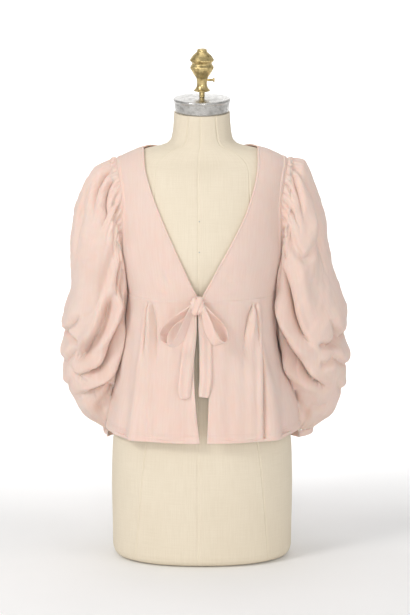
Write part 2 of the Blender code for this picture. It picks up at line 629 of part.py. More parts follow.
def sleeve_grids(side):
    """Outer and inner points of a sleeve, from the armhole to the cuff.

    The root stands in the armhole, the collar stands out from it, and each ring after them is an
    oval through its table row's outer and inner edges. Folds and gathers move points along the face.
    """
    corners, outward, inward = (with_middles(values) for values in armhole(side))
    outward, inward = unit(outward), unit(inward)
    root = corners - outward * CLOTH / 2 + inward * ARMHOLE_SEAM
    spread = unit(outward + (side * COLLAR_SPREAD, 0, 0))
    collar = corners + spread * COLLAR + inward * COLLAR_TURN
    angle = np.linspace(0, 2 * np.pi, len(corners), endpoint=False)
    along = np.linspace(FIRST_RING, 1, SLEEVE_ROWS)
    table = LEFT_SLEEVE if side == LEFT else RIGHT_SLEEVE
    out_x, out_z, in_x, in_z, half, middle = curve_through(table, along).T[..., None]
    rings = np.stack([
        side * ((out_x + in_x) / 2 + (out_x - in_x) / 2 * np.cos(angle)),
        middle - half * signed_power(np.sin(angle).round(9), 0.95),
        (out_z + in_z) / 2 + (out_z - in_z) / 2 * np.cos(angle),
    ], axis=-1)
    outer = np.concatenate([root[None], collar[None], rings])
    normal = side * grid_normals(outer, closed=True)
    seen = np.stack([np.abs(outer[..., 0]), outer[..., 2]], axis=-1)
    own, other = (LEFT_FOLDS, RIGHT_FOLDS) if side == LEFT else (RIGHT_FOLDS, LEFT_FOLDS)
    front, back = np.clip(-1.6 * normal[..., 1], 0, 1), np.clip(1.6 * normal[..., 1], 0, 1)
    share = np.concatenate([[0, 0], along])[:, None]
    move = front * fold_height(seen, own) + back * BACK_FOLD_SHARE * fold_height(seen, other)
    move *= ease_in(share, 0, 2 * FIRST_RING)
    gathered = 1 - ease_in(share, 0.02, GATHER_FADE) + ease_in(share, 1 - GATHER_FADE / 2, 1)
    move += gathered * GATHER * np.where(np.arange(len(corners)) % 2, -1.0, 1.0)
    move[0] = 0
    outer = outer + normal * move[..., None]
    clear = CLEAR * (1 + LOW_CLEAR * ease_in(share[2:], 1 - LOW_FADE, 1))
    reach = body_side(outer[2:, :, 1], outer[2:, :, 2])[0 if side == RIGHT else 1] + clear
    outer[2:, :, 0] = side * np.maximum(np.abs(outer[2:, :, 0]), reach)
    normal = side * grid_normals(outer, closed=True)
    inner = outer - CLOTH * normal
    inner[0] = root + CLOTH * inward
    return outer, inner


def add_cuff(name, ring, side, finish):
    """The band that the sleeve's last ring is gathered into."""
    top = ring[::2] - (0, 0, CUFF_DROP)
    middle = top.mean(axis=0)
    foot = middle + (top - middle) * CUFF_TAPER - (0, 0, CUFF_DEPTH)
    outer = np.stack([top, foot])
    reach = body_side(outer[..., 1], outer[..., 2])[0 if side == RIGHT else 1] + 2 * CLEAR
    outer[..., 0] = side * np.maximum(np.abs(outer[..., 0]), reach)
    normal = side * grid_normals(outer, closed=True)
    normal[..., 2] = 0
    return add_wall(name, outer, outer - CLOTH * unit(normal), True, finish)


def add_bar(name, centres, across, half_width, half_thick, finish):
    """A flat strip with square edges along a path; across is its width's direction at each point."""
    along = np.gradient(centres, axis=0)
    across = unit(np.broadcast_to(across, centres.shape))
    through = unit(np.cross(along, across))
    wide = across * np.reshape(half_width, (-1, 1))
    thick = through * half_thick
    rings = np.stack([centres + wide + thick, centres - wide + thick,
                      centres - wide - thick, centres + wide - thick], axis=1)
    last = 4 * (len(centres) - 1)
    faces = [(0, 1, 2, 3), (last + 3, last + 2, last + 1, last)]
    for start in range(0, last, 4):
        for c in range(4):
            d = (c + 1) % 4
            faces.append((start + c, start + d, start + 4 + d, start + 4 + c))
    return add_object(name, rings.reshape(-1, 3), faces, finish)


def add_binding(left, back, right, finish):
    """The narrow edging round the whole neck, set into the opening beside each edge."""
    path = np.concatenate([left[::-1], back[1:-1], right])
    outward = bodice_normal(path)
    along = unit(np.gradient(path, axis=0))
    aside = unit(np.cross(along, outward))
    centres = path - outward * CLOTH / 2 + aside * (SEAM + BINDING_HALF_WIDTH)
    return add_bar("neck_binding", centres, aside, BINDING_HALF_WIDTH, BINDING_HALF_THICK, finish)


def front_face(across, height):
    """How far forward the bodice or the peplum reaches in front of a place."""
    low = np.minimum(height, EMPIRE_Z)
    skirt = front_of_level(across, peplum_level(low, across))
    bodice = front_of_level(across, bodice_level(np.maximum(height, EMPIRE_Z)))
    return np.where(height > EMPIRE_Z, bodice, skirt)


def add_knot(finish):
    """The knot: a rounded block."""
    bpy.ops.mesh.primitive_uv_sphere_add(segments=14, ring_count=8)
    made = bpy.context.object
    made.name = "tie_knot"
    for vertex in made.data.vertices:
        across, deep, height = vertex.co
        block = (abs(across) ** 3 + abs(deep) ** 3 + abs(height) ** 3) ** (1 / 3)
        vertex.co = [c / block * half for c, half in zip((across, deep, height), KNOT_HALF)]
    made.location = KNOT_CENTRE
    made.data.shade_smooth()
    made.data.materials.append(finish)
    return made


def add_loop(name, side, length, opening, slant, twist, finish):
    """One loop of the bow: a strip that leaves the knot, turns round and comes back.

    The loop runs slantwise down and aside. Its strip is turned about that line, so that its hollow
    is seen a little from the front.
    """
    slant, twist = np.radians(slant), np.radians(twist)
    ahead = np.array([side * np.sin(slant), 0, -np.cos(slant)])
    level = np.array([-side * np.cos(slant), 0, -np.sin(slant)])
    depth = np.array([0, 1.0, 0])
    wide = np.cos(twist) * level + np.sin(twist) * depth
    apart = np.cos(twist) * depth - np.sin(twist) * level
    turn = np.linspace(0.16, 2 * np.pi - 0.16, LOOP_STEPS)[:, None]
    out = length * (1 - np.cos(turn)) / 2
    gap = opening * 0.77 * np.sin(turn) * np.sin(turn / 2) ** 2 + TIE_THICK * np.cos(turn / 2)
    root = np.array(KNOT_CENTRE) + (side * (KNOT_HALF[0] + LOOP_ROOT), 0, 0)
    centres = root + out * ahead + gap * apart
    half_width = TIE_WIDTH / 2 * (LOOP_PINCH + (1 - LOOP_PINCH) * ease_in(out, 0, length / 2))
    edges = np.stack([centres + wide * half_width, centres - wide * half_width])
    lap = edges[..., 1] + front_face(edges[..., 0], edges[..., 2]) + LOOP_CLEAR
    centres[:, 1] -= np.maximum(0, lap.max()) * ease_in(out, 0, length / 3)[:, 0]
    return add_bar(name, centres, wide, half_width, TIE_THICK / 2, finish)


def add_tail(name, table, finish):
    """One hanging end of the tie, lying on the front."""
    table = np.array(table[::-1])
    height = np.linspace(table[-1, 0], table[0, 0], TAIL_STEPS)
    across, half_width = curve_through(table, height).T
    deep = -front_face(np.abs(across) - half_width, height) - SEAM - TAIL_CLEAR - TIE_THICK / 2
    centres = np.stack([across, deep, height], axis=-1)
    return add_bar(name, centres, (1.0, 0, 0), half_width, TIE_THICK / 2, finish)


def add_torso(finish):
    """The form from its flat base to the leaning top of its neck, with a soft edge at the base."""
    table = np.array(FORM_LEVELS)
    turn = np.linspace(0, 2 * np.pi, FORM_COLUMNS, endpoint=False)
    rings = on_level(turn, table[:, :1], table[:, None, 1:])
    lean = np.tan(NECK_TILT) * ease_in(table[:, :1], NECK_LEAN_START, table[-1, 0])
    rings[..., 2] += rings[..., 1] * lean
    index = np.arange(rings[..., 0].size).reshape(rings.shape[:2])
    faces = [tuple(int(i) for i in index[0]), tuple(int(i) for i in index[-1, ::-1])]
    for r in range(len(index) - 1):
        for c in range(FORM_COLUMNS):
            d = (c + 1) % FORM_COLUMNS
            faces.append(tuple(int(i) for i in (index[r, c], index[r, d], index[r + 1, d], index[r + 1, c])))
    return add_object("form_torso", rings.reshape(-1, 3), faces, finish)


def add_thumbscrew(finish):
    """The small screw in the finial's side, to the right: a pin with a round head."""
    reach = SCREW_START + SCREW_REACH
    sections = ((SCREW_START, SCREW_RADIUS), (reach - SCREW_HEAD, SCREW_RADIUS),
                (reach - SCREW_HEAD, SCREW_HEAD_RADIUS), (reach, SCREW_HEAD_RADIUS))
    angle = np.linspace(0, 2 * np.pi, 10, endpoint=False)
    rings = np.array([[(across, radius * np.cos(a), FINIAL_FOOT + SCREW_HEIGHT + radius * np.sin(a))
                       for a in angle] for across, radius in sections])
    faces = [tuple(range(10)), tuple(range(39, 29, -1))]
    for r in range(3):
        for c in range(10):
            d = (c + 1) % 10
            faces.append((r * 10 + c, r * 10 + d, r * 10 + 10 + d, r * 10 + 10 + c))
    made = add_object("form_thumbscrew", rings.reshape(-1, 3), faces, finish)
    made.matrix_world = Matrix.Translation(Vector(CAP_FOOT)) @ Matrix.Rotation(NECK_TILT, 4, "X")
    return made


def add_bodice(knit):
    """The two fronts, the back and the edging round the neck."""
    edges = {}
    for side, name in ((LEFT, "bodice_front_left"), (RIGHT, "bodice_front_right")):
        outer = bodice_front_grid(side)
        add_wall(name, outer, outer - CLOTH * bodice_normal(outer), False, knit)
        edges[side] = outer[:, 0]
    outer = bodice_back_grid()
    add_wall("bodice_back", outer, outer - CLOTH * bodice_normal(outer), False, knit)
    add_binding(edges[LEFT], outer[0, STRAP_COLUMNS:-STRAP_COLUMNS], edges[RIGHT], knit)


def add_peplum(knit):
    """The flared skirt of the cardigan: two fronts that don't meet, and the back."""
    for side, name in ((LEFT, "peplum_front_left"), (RIGHT, "peplum_front_right")):
        outer = peplum_front_grid(side)
        add_wall(name, outer, outer + side * CLOTH * grid_normals(outer, closed=False), False, knit)
    outer = peplum_back_grid()
    add_wall("peplum_back", outer, outer - CLOTH * grid_normals(outer, closed=False), False, knit)


def add_sleeves(knit):
    """Both sleeves and the bands at their ends."""
    for side, name in ((LEFT, "left"), (RIGHT, "right")):
        outer, inner = sleeve_grids(side)
        add_wall(f"sleeve_{name}", outer, inner, True, knit)
        add_cuff(f"cuff_{name}", outer[-1], side, knit)


def add_tie(knit):
    """The bow: its knot, its two loops and its two hanging ends."""
    add_knot(knit)
    for name, side, length, opening, slant, twist in TIE_LOOPS:
        add_loop(name, side, length, opening, slant, twist, knit)
    for name, table in TIE_TAILS:
        add_tail(name, table, knit)


def add_form():
    """The dress form: linen torso, steel neck cap and stem, brass finial with its screw."""
    add_torso(material("linen", (0.80, 0.74, 0.62), 0.9))
    steel = material("steel", (0.62, 0.62, 0.63), 0.35, 1.0)
    brass = material("brass", (0.56, 0.42, 0.20), 0.4, 1.0)
    add_turned("form_neck_cap", CAP_PROFILE, 0.0, CAP_CREST, steel)
    stem = ((STEM_RADIUS, CAP_CREST + SEAM), (STEM_RADIUS, STEM_TOP))
    add_turned("form_stem", stem, 0.0, STEM_TOP, steel, steps=12)
    add_turned("form_finial", FINIAL_PROFILE, FINIAL_FOOT, FINIAL_PROFILE[-1][1], brass, steps=18)
    add_thumbscrew(brass)


for old in list(bpy.data.objects):
    bpy.data.objects.remove(old, do_unlink=True)
blush_knit = material("blush_knit", (0.87, 0.68, 0.60), 0.85)
add_form()
add_bodice(blush_knit)
add_peplum(blush_knit)
add_sleeves(blush_knit)
add_tie(blush_knit)
bpy.context.view_layer.update()
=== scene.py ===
"""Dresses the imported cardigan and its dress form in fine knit, linen, steel and brass.

Units are metres and +Z is up. The origin is the centre of the form's flat base and the front faces
-Y, so the viewer's right is +X. The form and the close cloth are stacks of level sections, a sleeve
is a run of rings from the armhole to the cuff, and each piece of cloth is a thin closed shell on the
shape of its own solid. Folds are troughs and ridges laid along paths. Their sizes, like the tables of
shapes, are written in millimetres and turned into metres as they are read.
"""

import logging
from dataclasses import dataclass
from enum import Enum
from functools import partial

import bpy
import numpy as np
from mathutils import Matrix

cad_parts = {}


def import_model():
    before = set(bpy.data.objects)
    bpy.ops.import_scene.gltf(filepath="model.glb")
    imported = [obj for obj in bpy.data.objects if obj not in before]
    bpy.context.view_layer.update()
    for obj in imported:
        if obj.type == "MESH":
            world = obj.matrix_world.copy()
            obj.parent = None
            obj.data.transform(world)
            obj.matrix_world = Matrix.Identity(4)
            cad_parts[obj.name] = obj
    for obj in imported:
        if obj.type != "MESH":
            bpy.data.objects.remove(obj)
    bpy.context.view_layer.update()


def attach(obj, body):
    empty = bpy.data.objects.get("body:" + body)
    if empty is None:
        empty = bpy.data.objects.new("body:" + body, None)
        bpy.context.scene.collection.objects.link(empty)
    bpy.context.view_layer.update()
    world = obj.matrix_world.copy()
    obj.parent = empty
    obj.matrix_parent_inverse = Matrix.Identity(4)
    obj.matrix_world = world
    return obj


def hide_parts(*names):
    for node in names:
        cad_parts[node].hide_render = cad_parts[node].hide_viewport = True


LOG = logging.getLogger("cardigan")
Array = np.ndarray
Row = tuple[float, ...]
Table = tuple[Row, ...]
Piece = bpy.types.Object
Material = bpy.types.Material
Socket = bpy.types.NodeSocket

BODY = "root"


def in_metres(*rows: Row) -> Table:
    """Rows of sizes that are written in millimetres, and of shares written in thousandths."""
    return tuple(tuple(size / 1000 for size in row) for row in rows)


# Cloth and seams
CLOTH = 0.002  # wall of the knit cloth
SEAM = 0.0003  # gap that neighbouring pieces keep
CLEAR = 0.0016  # least room between a sleeve and the cloth beside it, doubled at the cuff
ROUNDNESS = 2.2  # power of the level sections: 2 is an ellipse, more is squarer
SHARP_EDGE = 50.0  # degrees from which an edge is shaded sharp

# The form, by level: height, half width, depth to the front, depth to the back
FORM_LEVELS = in_metres(
    (0, 143, 98, 104), (4, 154, 108, 114), (10, 159.5, 113, 119), (20, 162, 115, 121.5),
    (60, 162.5, 115.5, 122), (130, 163.5, 116, 123), (200, 162, 114, 120), (260, 153, 108, 111),
    (320, 131, 98, 98), (375, 117, 90, 89), (420, 119, 92, 90), (470, 125, 101, 95),
    (520, 135.5, 114, 101), (560, 143, 121, 105), (600, 146.5, 118, 108), (640, 148.5, 106, 108),
    (675, 151, 94, 104), (695, 153, 83, 97), (708, 152.5, 74, 89), (716.5, 149, 66, 82),
    (723.5, 141.5, 60, 76.5), (730.5, 129, 56, 71), (736.5, 114, 53, 67), (740.5, 100, 51.5, 64),
    (745, 78.5, 50, 60), (750, 63, 49, 56), (759, 54.6, 48, 53), (779, 51, 47.5, 51.5),
    (806, 49.2, 47.5, 50),
)
NECK_TILT = 0.11  # radians that the neck's top leans to the front
NECK_LEAN_START = 0.759  # the height above which its rings lean

# How far the bodice's outer face stands off the form: height, side, front, back
BODICE_EASE = in_metres(
    (483.5, 5.5, 14, 7), (520, 5, 7, 6), (560, 4.8, 4.8, 5), (740, 4.5, 4.5, 4.5), (810, 4.5, 4.5, 4.5),
)
SHOULDER_LIFT = 0.0031  # how far the bodice lies above the form's shoulders, besides that ease
EMPIRE_Z = 0.4835  # the seam between bodice and peplum
FAN_Z = 0.640  # above this the rows turn about a line through the shoulders
FAN_REACH = 0.090  # arc length that stands for one radian of that turn

# The armhole, an egg seen from the side
ARMHOLE_TOP, ARMHOLE_FOOT = 0.7235, 0.5000
ARMHOLE_FRONT, ARMHOLE_BACK = 0.0540, 0.0600
ARMHOLE_EGG = 0.80  # power of the sine that makes its front and back upright
ARMHOLE_SEAM = 0.0004  # gap between the sleeve and the bodice there

# The edge of the V neck: height, distance from the centre on the left, on the right
NECK_EDGE = in_metres(
    (483.5, 9, 2), (493, 13.3, 6), (514, 24.7, 18), (548, 39.7, 35.7), (581.5, 54.9, 54.5),
    (607, 66.4, 68), (634, 78, 81), (657, 87.7, 89.2), (686, 97.6, 97.5), (713, 104.6, 102),
    (737, 108.5, 103),
)
BACK_NECK_DIP = 0.070  # centre back of the neckline below the shoulders

# The peplum's outer face by level: height, half width on the left, on the right, front, back
PEPLUM_LEVELS = in_metres(
    (232, 166, 167, 135, 135), (280, 161.5, 164, 132.5, 129), (315, 155.5, 157.5, 130, 123),
    (345.5, 150.5, 149.5, 127.5, 118), (386, 144, 139.5, 124.5, 112.5), (415, 140.5, 135.5, 122.5, 109),
    (483.5, 133.5, 133.5, 118.5, 103),
)
HEM_Z = 0.2320
# The peplum's front edges: height, distance from the centre on the left, on the right
FRONT_EDGE = in_metres(
    (232, 5, 9.5), (300, 12, 12.5), (360, 14.5, 13.5), (430, 12.5, 11), (483.5, 9, 2),
)
# Folds of the peplum, the two front pleats first: turn in degrees from centre front (right is plus),
# half width in degrees at the seam and at the hem, height at the hem, how far it leans to the right,
# power of its growth from seam to hem
PEPLUM_FOLDS = (
    (-44.0, 3.5, 6.5, 0.0095, -0.0030, 0.40),
    (45.0, 3.5, 10.0, 0.0110, 0.0060, 0.40),
    (-101.0, 16.0, 17.0, 0.0090, 0.0, 1.60),
    (99.0, 15.0, 17.0, 0.0125, 0.0, 1.60),
    (-140.0, 9.0, 13.0, 0.0080, 0.0, 1.00),
    (178.0, 9.0, 14.0, 0.0090, 0.0, 0.80),
    (139.0, 9.0, 13.0, 0.0085, 0.0, 1.00),
)

# Each sleeve by ring, from the cap to the cuff: thousandths of the way along it, outer edge across
# and up, inner edge across and up, half depth, how far its middle lies behind the shoulder line
LEFT_SLEEVE = in_metres(
    (80, 162, 721.2, 140, 496, 64, 4), (160, 183.5, 711.5, 134.5, 485, 71, 6),
    (240, 202, 693, 132.5, 473, 77, 10), (320, 214, 665, 132, 461, 81, 14),
    (400, 224.5, 632, 132, 449, 84, 18), (480, 230.5, 590, 132, 437, 85, 22),
    (550, 233.5, 545, 132, 425, 85, 26), (620, 237, 495, 132.5, 411, 84, 30),
    (690, 249, 449, 134, 395, 83, 34), (760, 252, 400, 136, 375, 81, 38),
    (820, 254, 350, 139, 350, 78, 43), (880, 249, 308, 140, 319, 73, 50),
    (930, 232, 276, 139, 285, 65, 59), (970, 214, 246, 135, 250, 54, 69),
    (1000, 182, 221.5, 132, 220, 43, 79),
)
RIGHT_SLEEVE = in_metres(
    (80, 160, 722.8, 140, 496, 64, 4), (160, 179, 719, 134.5, 485, 71, 6),
    (240, 194.5, 700, 132.5, 473, 77, 10), (320, 207.5, 666, 132, 461, 81, 14),
    (400, 218.5, 630, 132, 449, 84, 18), (480, 226, 588, 132, 437, 85, 22),
    (550, 232.5, 543, 132, 425, 85, 26), (620, 247, 491, 132.5, 411, 84, 30),
    (690, 264, 450, 134, 395, 83, 34), (760, 259, 412, 136, 373, 81, 38),
    (820, 265, 360, 140, 348, 78, 43), (880, 261, 311, 142, 318, 73, 50),
    (930, 250, 276, 141, 285, 65, 59), (970, 235, 246, 139, 250, 54, 68),
    (1000, 205, 222, 138, 218.5, 44, 77),
)
FIRST_RING = 0.08  # how far along the first ring after the collar of gathers is
COLLAR = 0.0058  # how far the gathered head stands out from the armhole before it spreads
COLLAR_TURN = 0.0010  # how far it turns into the armhole
COLLAR_SPREAD = 2.0  # how much more it stands out sideways than square to the cloth
COLLAR_LIFT = 0.0010  # how much higher it stands at the shoulder
# The folds of the sleeves are placed as seen along the camera's line, on a plane in front
SIGHT_DEPTH = -0.060  # where that plane lies
SIGHT_LENGTH = 4.50  # how far away the eye is
SIGHT_DROP = 0.158  # how much a sight line sinks over its length
FOLD_SHIFT = 0.0025  # a deep fold shows this much above its path


class Side(Enum):
    """The viewer's left or right."""

    LEFT = -1
    RIGHT = 1

    @property
    def word(self) -> str:
        """The side's name, as nodes have it."""
        return self.name.lower()


class Crease(Enum):
    """How a fold of the cloth is shaped across: an even swell, or a tuck with a sharp bottom."""

    SOFT = "soft"
    TUCK = "tuck"


def curve_through(table: Table | Array, at: Array | float) -> Array:
    """Values of a table between its rows, smooth and with no overshoot.

    The first column is the key. Each slope is the harmonic mean of the slopes beside it, or zero
    at a peak, and cubic pieces join the rows.

    Args:
        table: Rows of a key and its values, with rising keys.
        at: Keys to read it at.

    Returns:
        The values, one more axis than the keys.
    """
    table = np.asarray(table, float)
    keys, values = table[:, 0], table[:, 1:]
    at = np.clip(np.asarray(at, float), keys[0], keys[-1])
    rises = np.diff(values, axis=0) / np.diff(keys)[:, None]
    before, after = rises[:-1], rises[1:]
    total = np.where(before * after > 0, before + after, 1.0)
    middle = np.where(before * after > 0, 2 * before * after / total, 0.0)
    slopes = np.vstack([rises[:1], middle, rises[-1:]])
    row = np.clip(np.searchsorted(keys, at, side="right") - 1, 0, len(keys) - 2)
    span = (keys[row + 1] - keys[row])[..., None]
    s = (at - keys[row])[..., None] / span
    return (values[row] * (1 + 2 * s) * (1 - s) ** 2 + values[row + 1] * s**2 * (3 - 2 * s)
            + slopes[row] * span * s * (1 - s) ** 2 - slopes[row + 1] * span * s**2 * (1 - s))


def ease_in(value: Array | float, start: float, end: float) -> Array:
    """0 before start, 1 after end, and between them 3s^2 - 2s^3 of the share s gone."""
    s = np.clip((value - start) / (end - start), 0.0, 1.0)
    return s * s * (3 - 2 * s)


def unit(vectors: Array) -> Array:
    """The vectors at length 1."""
    return vectors / np.maximum(np.linalg.norm(vectors, axis=-1, keepdims=True), 1e-12)


def signed_power(values: Array, power: float) -> Array:
    """Each value's size raised to a power, with its own sign kept."""
    return np.sign(values) * np.abs(values) ** power


def between(values: Array, keys: Array, at: Array) -> Array:
    """Points read between their keys, straight from one to the next."""
    return np.stack([np.interp(at, keys, axis) for axis in values.T], axis=-1)


def smooth_path(points: Table | Array, count: int) -> Array:
    """Even steps along a smooth curve through points.

    Between two points the curve is the cubic whose slope at each is half the step between that
    point's neighbours.

    Args:
        points: The points that the curve goes through.
        count: How many steps to give.

    Returns:
        An array of count points.
    """
    points = np.asarray(points, float)
    padded = np.vstack([2 * points[0] - points[1], points, 2 * points[-1] - points[-2]])
    span = np.linspace(0, len(points) - 1, 16 * len(points))
    row = np.minimum(span.astype(int), len(points) - 2)
    s = (span - row)[:, None]
    a, b, c, d = (padded[row + k] for k in range(4))
    curve = b + s * (c - a) / 2 + s**2 * (a - 2.5 * b + 2 * c - d / 2)
    curve = curve + s**3 * (1.5 * (b - c) + (d - a) / 2)
    steps = np.linalg.norm(np.diff(curve, axis=0), axis=1)
    length = np.concatenate([[0], np.cumsum(steps)])
    return between(curve, length, np.linspace(0, length[-1], count))


def uneven(places: Array, size: float, seed: int) -> Array:
    """A smooth uneven field between about -1 and 1: seven waves in seeded directions, over 3.5.

    Args:
        places: Points with two or three numbers each.
        size: Rough distance between two of its hills.
        seed: Picks the directions and phases.

    Returns:
        One value for each point.
    """
    chance = np.random.default_rng(seed)
    ways = unit(chance.normal(size=(7, places.shape[-1]))) * 2 * np.pi / size
    ways *= chance.uniform(0.6, 1.5, (7, 1))
    return np.sin(places @ ways.T + chance.uniform(0, 6.28, 7)).sum(-1) / 3.5


def grid_normals(grid: Array, closed: bool) -> Array:
    """Directions square to a grid's face, from the differences of its rows and columns.

    Args:
        grid: Points by row and column.
        closed: Whether the last column joins the first.

    Returns:
        Unit vectors, one for each point.
    """
    down = np.gradient(grid, axis=0)
    if closed:
        along = np.roll(grid, -1, axis=1) - np.roll(grid, 1, axis=1)
    else:
        along = np.gradient(grid, axis=1)
    return unit(np.cross(along, down))


def lengths_along(grid: Array, axis: int) -> Array:
    """How far each point of a grid is from its first row (axis 0) or first column (axis 1)."""
    steps = np.linalg.norm(np.diff(grid, axis=axis), axis=-1)
    start = np.zeros_like(np.take(grid[..., 0], [0], axis=axis))
    return np.concatenate([start, np.cumsum(steps, axis=axis)], axis=axis)


def joined(*parts: Array | float) -> Array:
    """Points, or map places, from their parts spread to one shape."""
    return np.stack(np.broadcast_arrays(*parts), axis=-1)


def full_turn(count: int) -> Array:
    """Angles in even steps once round, the last one short of the first."""
    return np.linspace(0, 2 * np.pi, count, endpoint=False)


def grid_quads(index: Array) -> Array:
    """The corners of each cell of a grid of point numbers, going round it."""
    corners = (np.s_[:-1, :-1], np.s_[:-1, 1:], np.s_[1:, 1:], np.s_[1:, :-1])
    return np.stack([index[corner] for corner in corners], axis=-1).reshape(-1, 4)


def inside_out(points: Array, quads: Array) -> bool:
    """Whether faces round a closed solid are turned inward, from the volume that they bound."""
    a, b, d = (points[quads[:, k]] for k in (0, 1, 3))
    return bool((np.cross(b - a, d - a) * (a - points.mean(axis=0))).sum() < 0)


def round_points(rings: int, columns: int, pole: float) -> Array:
    """A ball of radius 1 by ring and column, open by the angle pole at its top and foot."""
    polar = np.linspace(pole, np.pi - pole, rings)[:, None]
    angle = full_turn(columns)
    level = np.sin(polar)
    return joined(level * np.cos(angle), level * np.sin(angle), np.cos(polar))


@dataclass(frozen=True)
class Fold:
    """One fold of the cloth, along a smooth path.

    Across the path a soft fold is rise * exp(-(d / width)^2). A tuck is a share of
    rise * exp(-|d| / width) and a narrower share of the same form, which has a sharp bottom, with a
    fuller roll of cloth beside it. Both fade at the path's ends.
    """

    path: Array
    width: float
    rise: float
    crease: Crease
    roll: float  # height of the roll beside a tuck, on the left as the path goes
    start: float  # share of the path over which it comes in
    end: float  # share of the path over which it dies away
    steps: int = 56  # that its path is followed in
    waver: float = 0.12  # how much its height swells and sinks along the path, as a share
    blunt: float = 0.55  # a tuck's wide share
    keen: float = 0.65  # and its narrow one
    keen_width: float = 0.35  # width of that one, as a share of the tuck's
    roll_place: float = 1.9  # widths from the path to the roll's top
    roll_width: float = 1.5  # widths that the roll has

    def across(self, aside: Array) -> Array:
        """The fold's height at these distances from its path, plus to the left of it."""
        if self.crease is Crease.SOFT:
            return self.rise * np.exp(-((aside / self.width) ** 2))
        wide = self.blunt * np.exp(-np.abs(aside) / self.width)
        narrow = self.keen * np.exp(-np.abs(aside) / (self.keen_width * self.width))
        beside = aside * np.sign(self.roll) - self.roll_place * self.width
        roll = abs(self.roll) * np.exp(-((beside / (self.roll_width * self.width)) ** 2))
        return self.rise * (wide + narrow) + roll

    def height(self, places: Array) -> Array:
        """How far the fold moves the cloth at places in the path's own plane.

        Args:
            places: Points with two numbers each.

        Returns:
            One height for each point.
        """
        path = smooth_path(self.path, self.steps)
        reach = 3.5 * self.width
        low, high = path.min(axis=0) - reach, path.max(axis=0) + reach
        near = ((places > low) & (places < high)).all(axis=-1)
        here = places[near]
        along = unit(np.gradient(path, axis=0))
        closest = ((here[:, None] - path) ** 2).sum(-1).argmin(-1)
        away = here - path[closest]
        tangent = along[closest]
        forward = (away * tangent).sum(-1)
        aside = tangent[:, 0] * away[:, 1] - tangent[:, 1] * away[:, 0]
        beyond = np.where(closest == 0, np.maximum(-forward, 0), 0)
        beyond = np.where(closest == len(path) - 1, np.maximum(forward, 0), beyond)
        share = closest / (len(path) - 1)
        weight = ease_in(share, -1e-6, self.start) * (1 - ease_in(share, 1 - self.end, 1 + 1e-6))
        weight = weight * np.exp(-((beyond / self.width) ** 2))
        weight = weight * (1 + self.waver * np.sin(9 * share + 400 * self.width + 60 * path[0, 0]))
        total = np.zeros(places.shape[:-1])
        total[near] = self.across(aside) * weight
        return total


def soft(width: float, rise: float, *path: float, start: float = 0.25, end: float = 0.30) -> Fold:
    """A soft fold in millimetres, its path as distances across and up in turn."""
    points = np.reshape(path, (-1, 2)) / 1000
    return Fold(points, width / 1000, rise / 1000, Crease.SOFT, 0.0, start, end)


def tuck(width: float, rise: float, roll: float, *path: float, start: float = 0.25,
         end: float = 0.30) -> Fold:
    """A tuck in millimetres, its path as distances across and up in turn."""
    points = np.reshape(path, (-1, 2)) / 1000
    return Fold(points, width / 1000, rise / 1000, Crease.TUCK, roll / 1000, start, end)


def fold_sum(folds: tuple[Fold, ...], places: Array) -> Array:
    """The heights of several folds added at each place."""
    return sum((fold.height(places) for fold in folds), np.zeros(places.shape[:-1]))


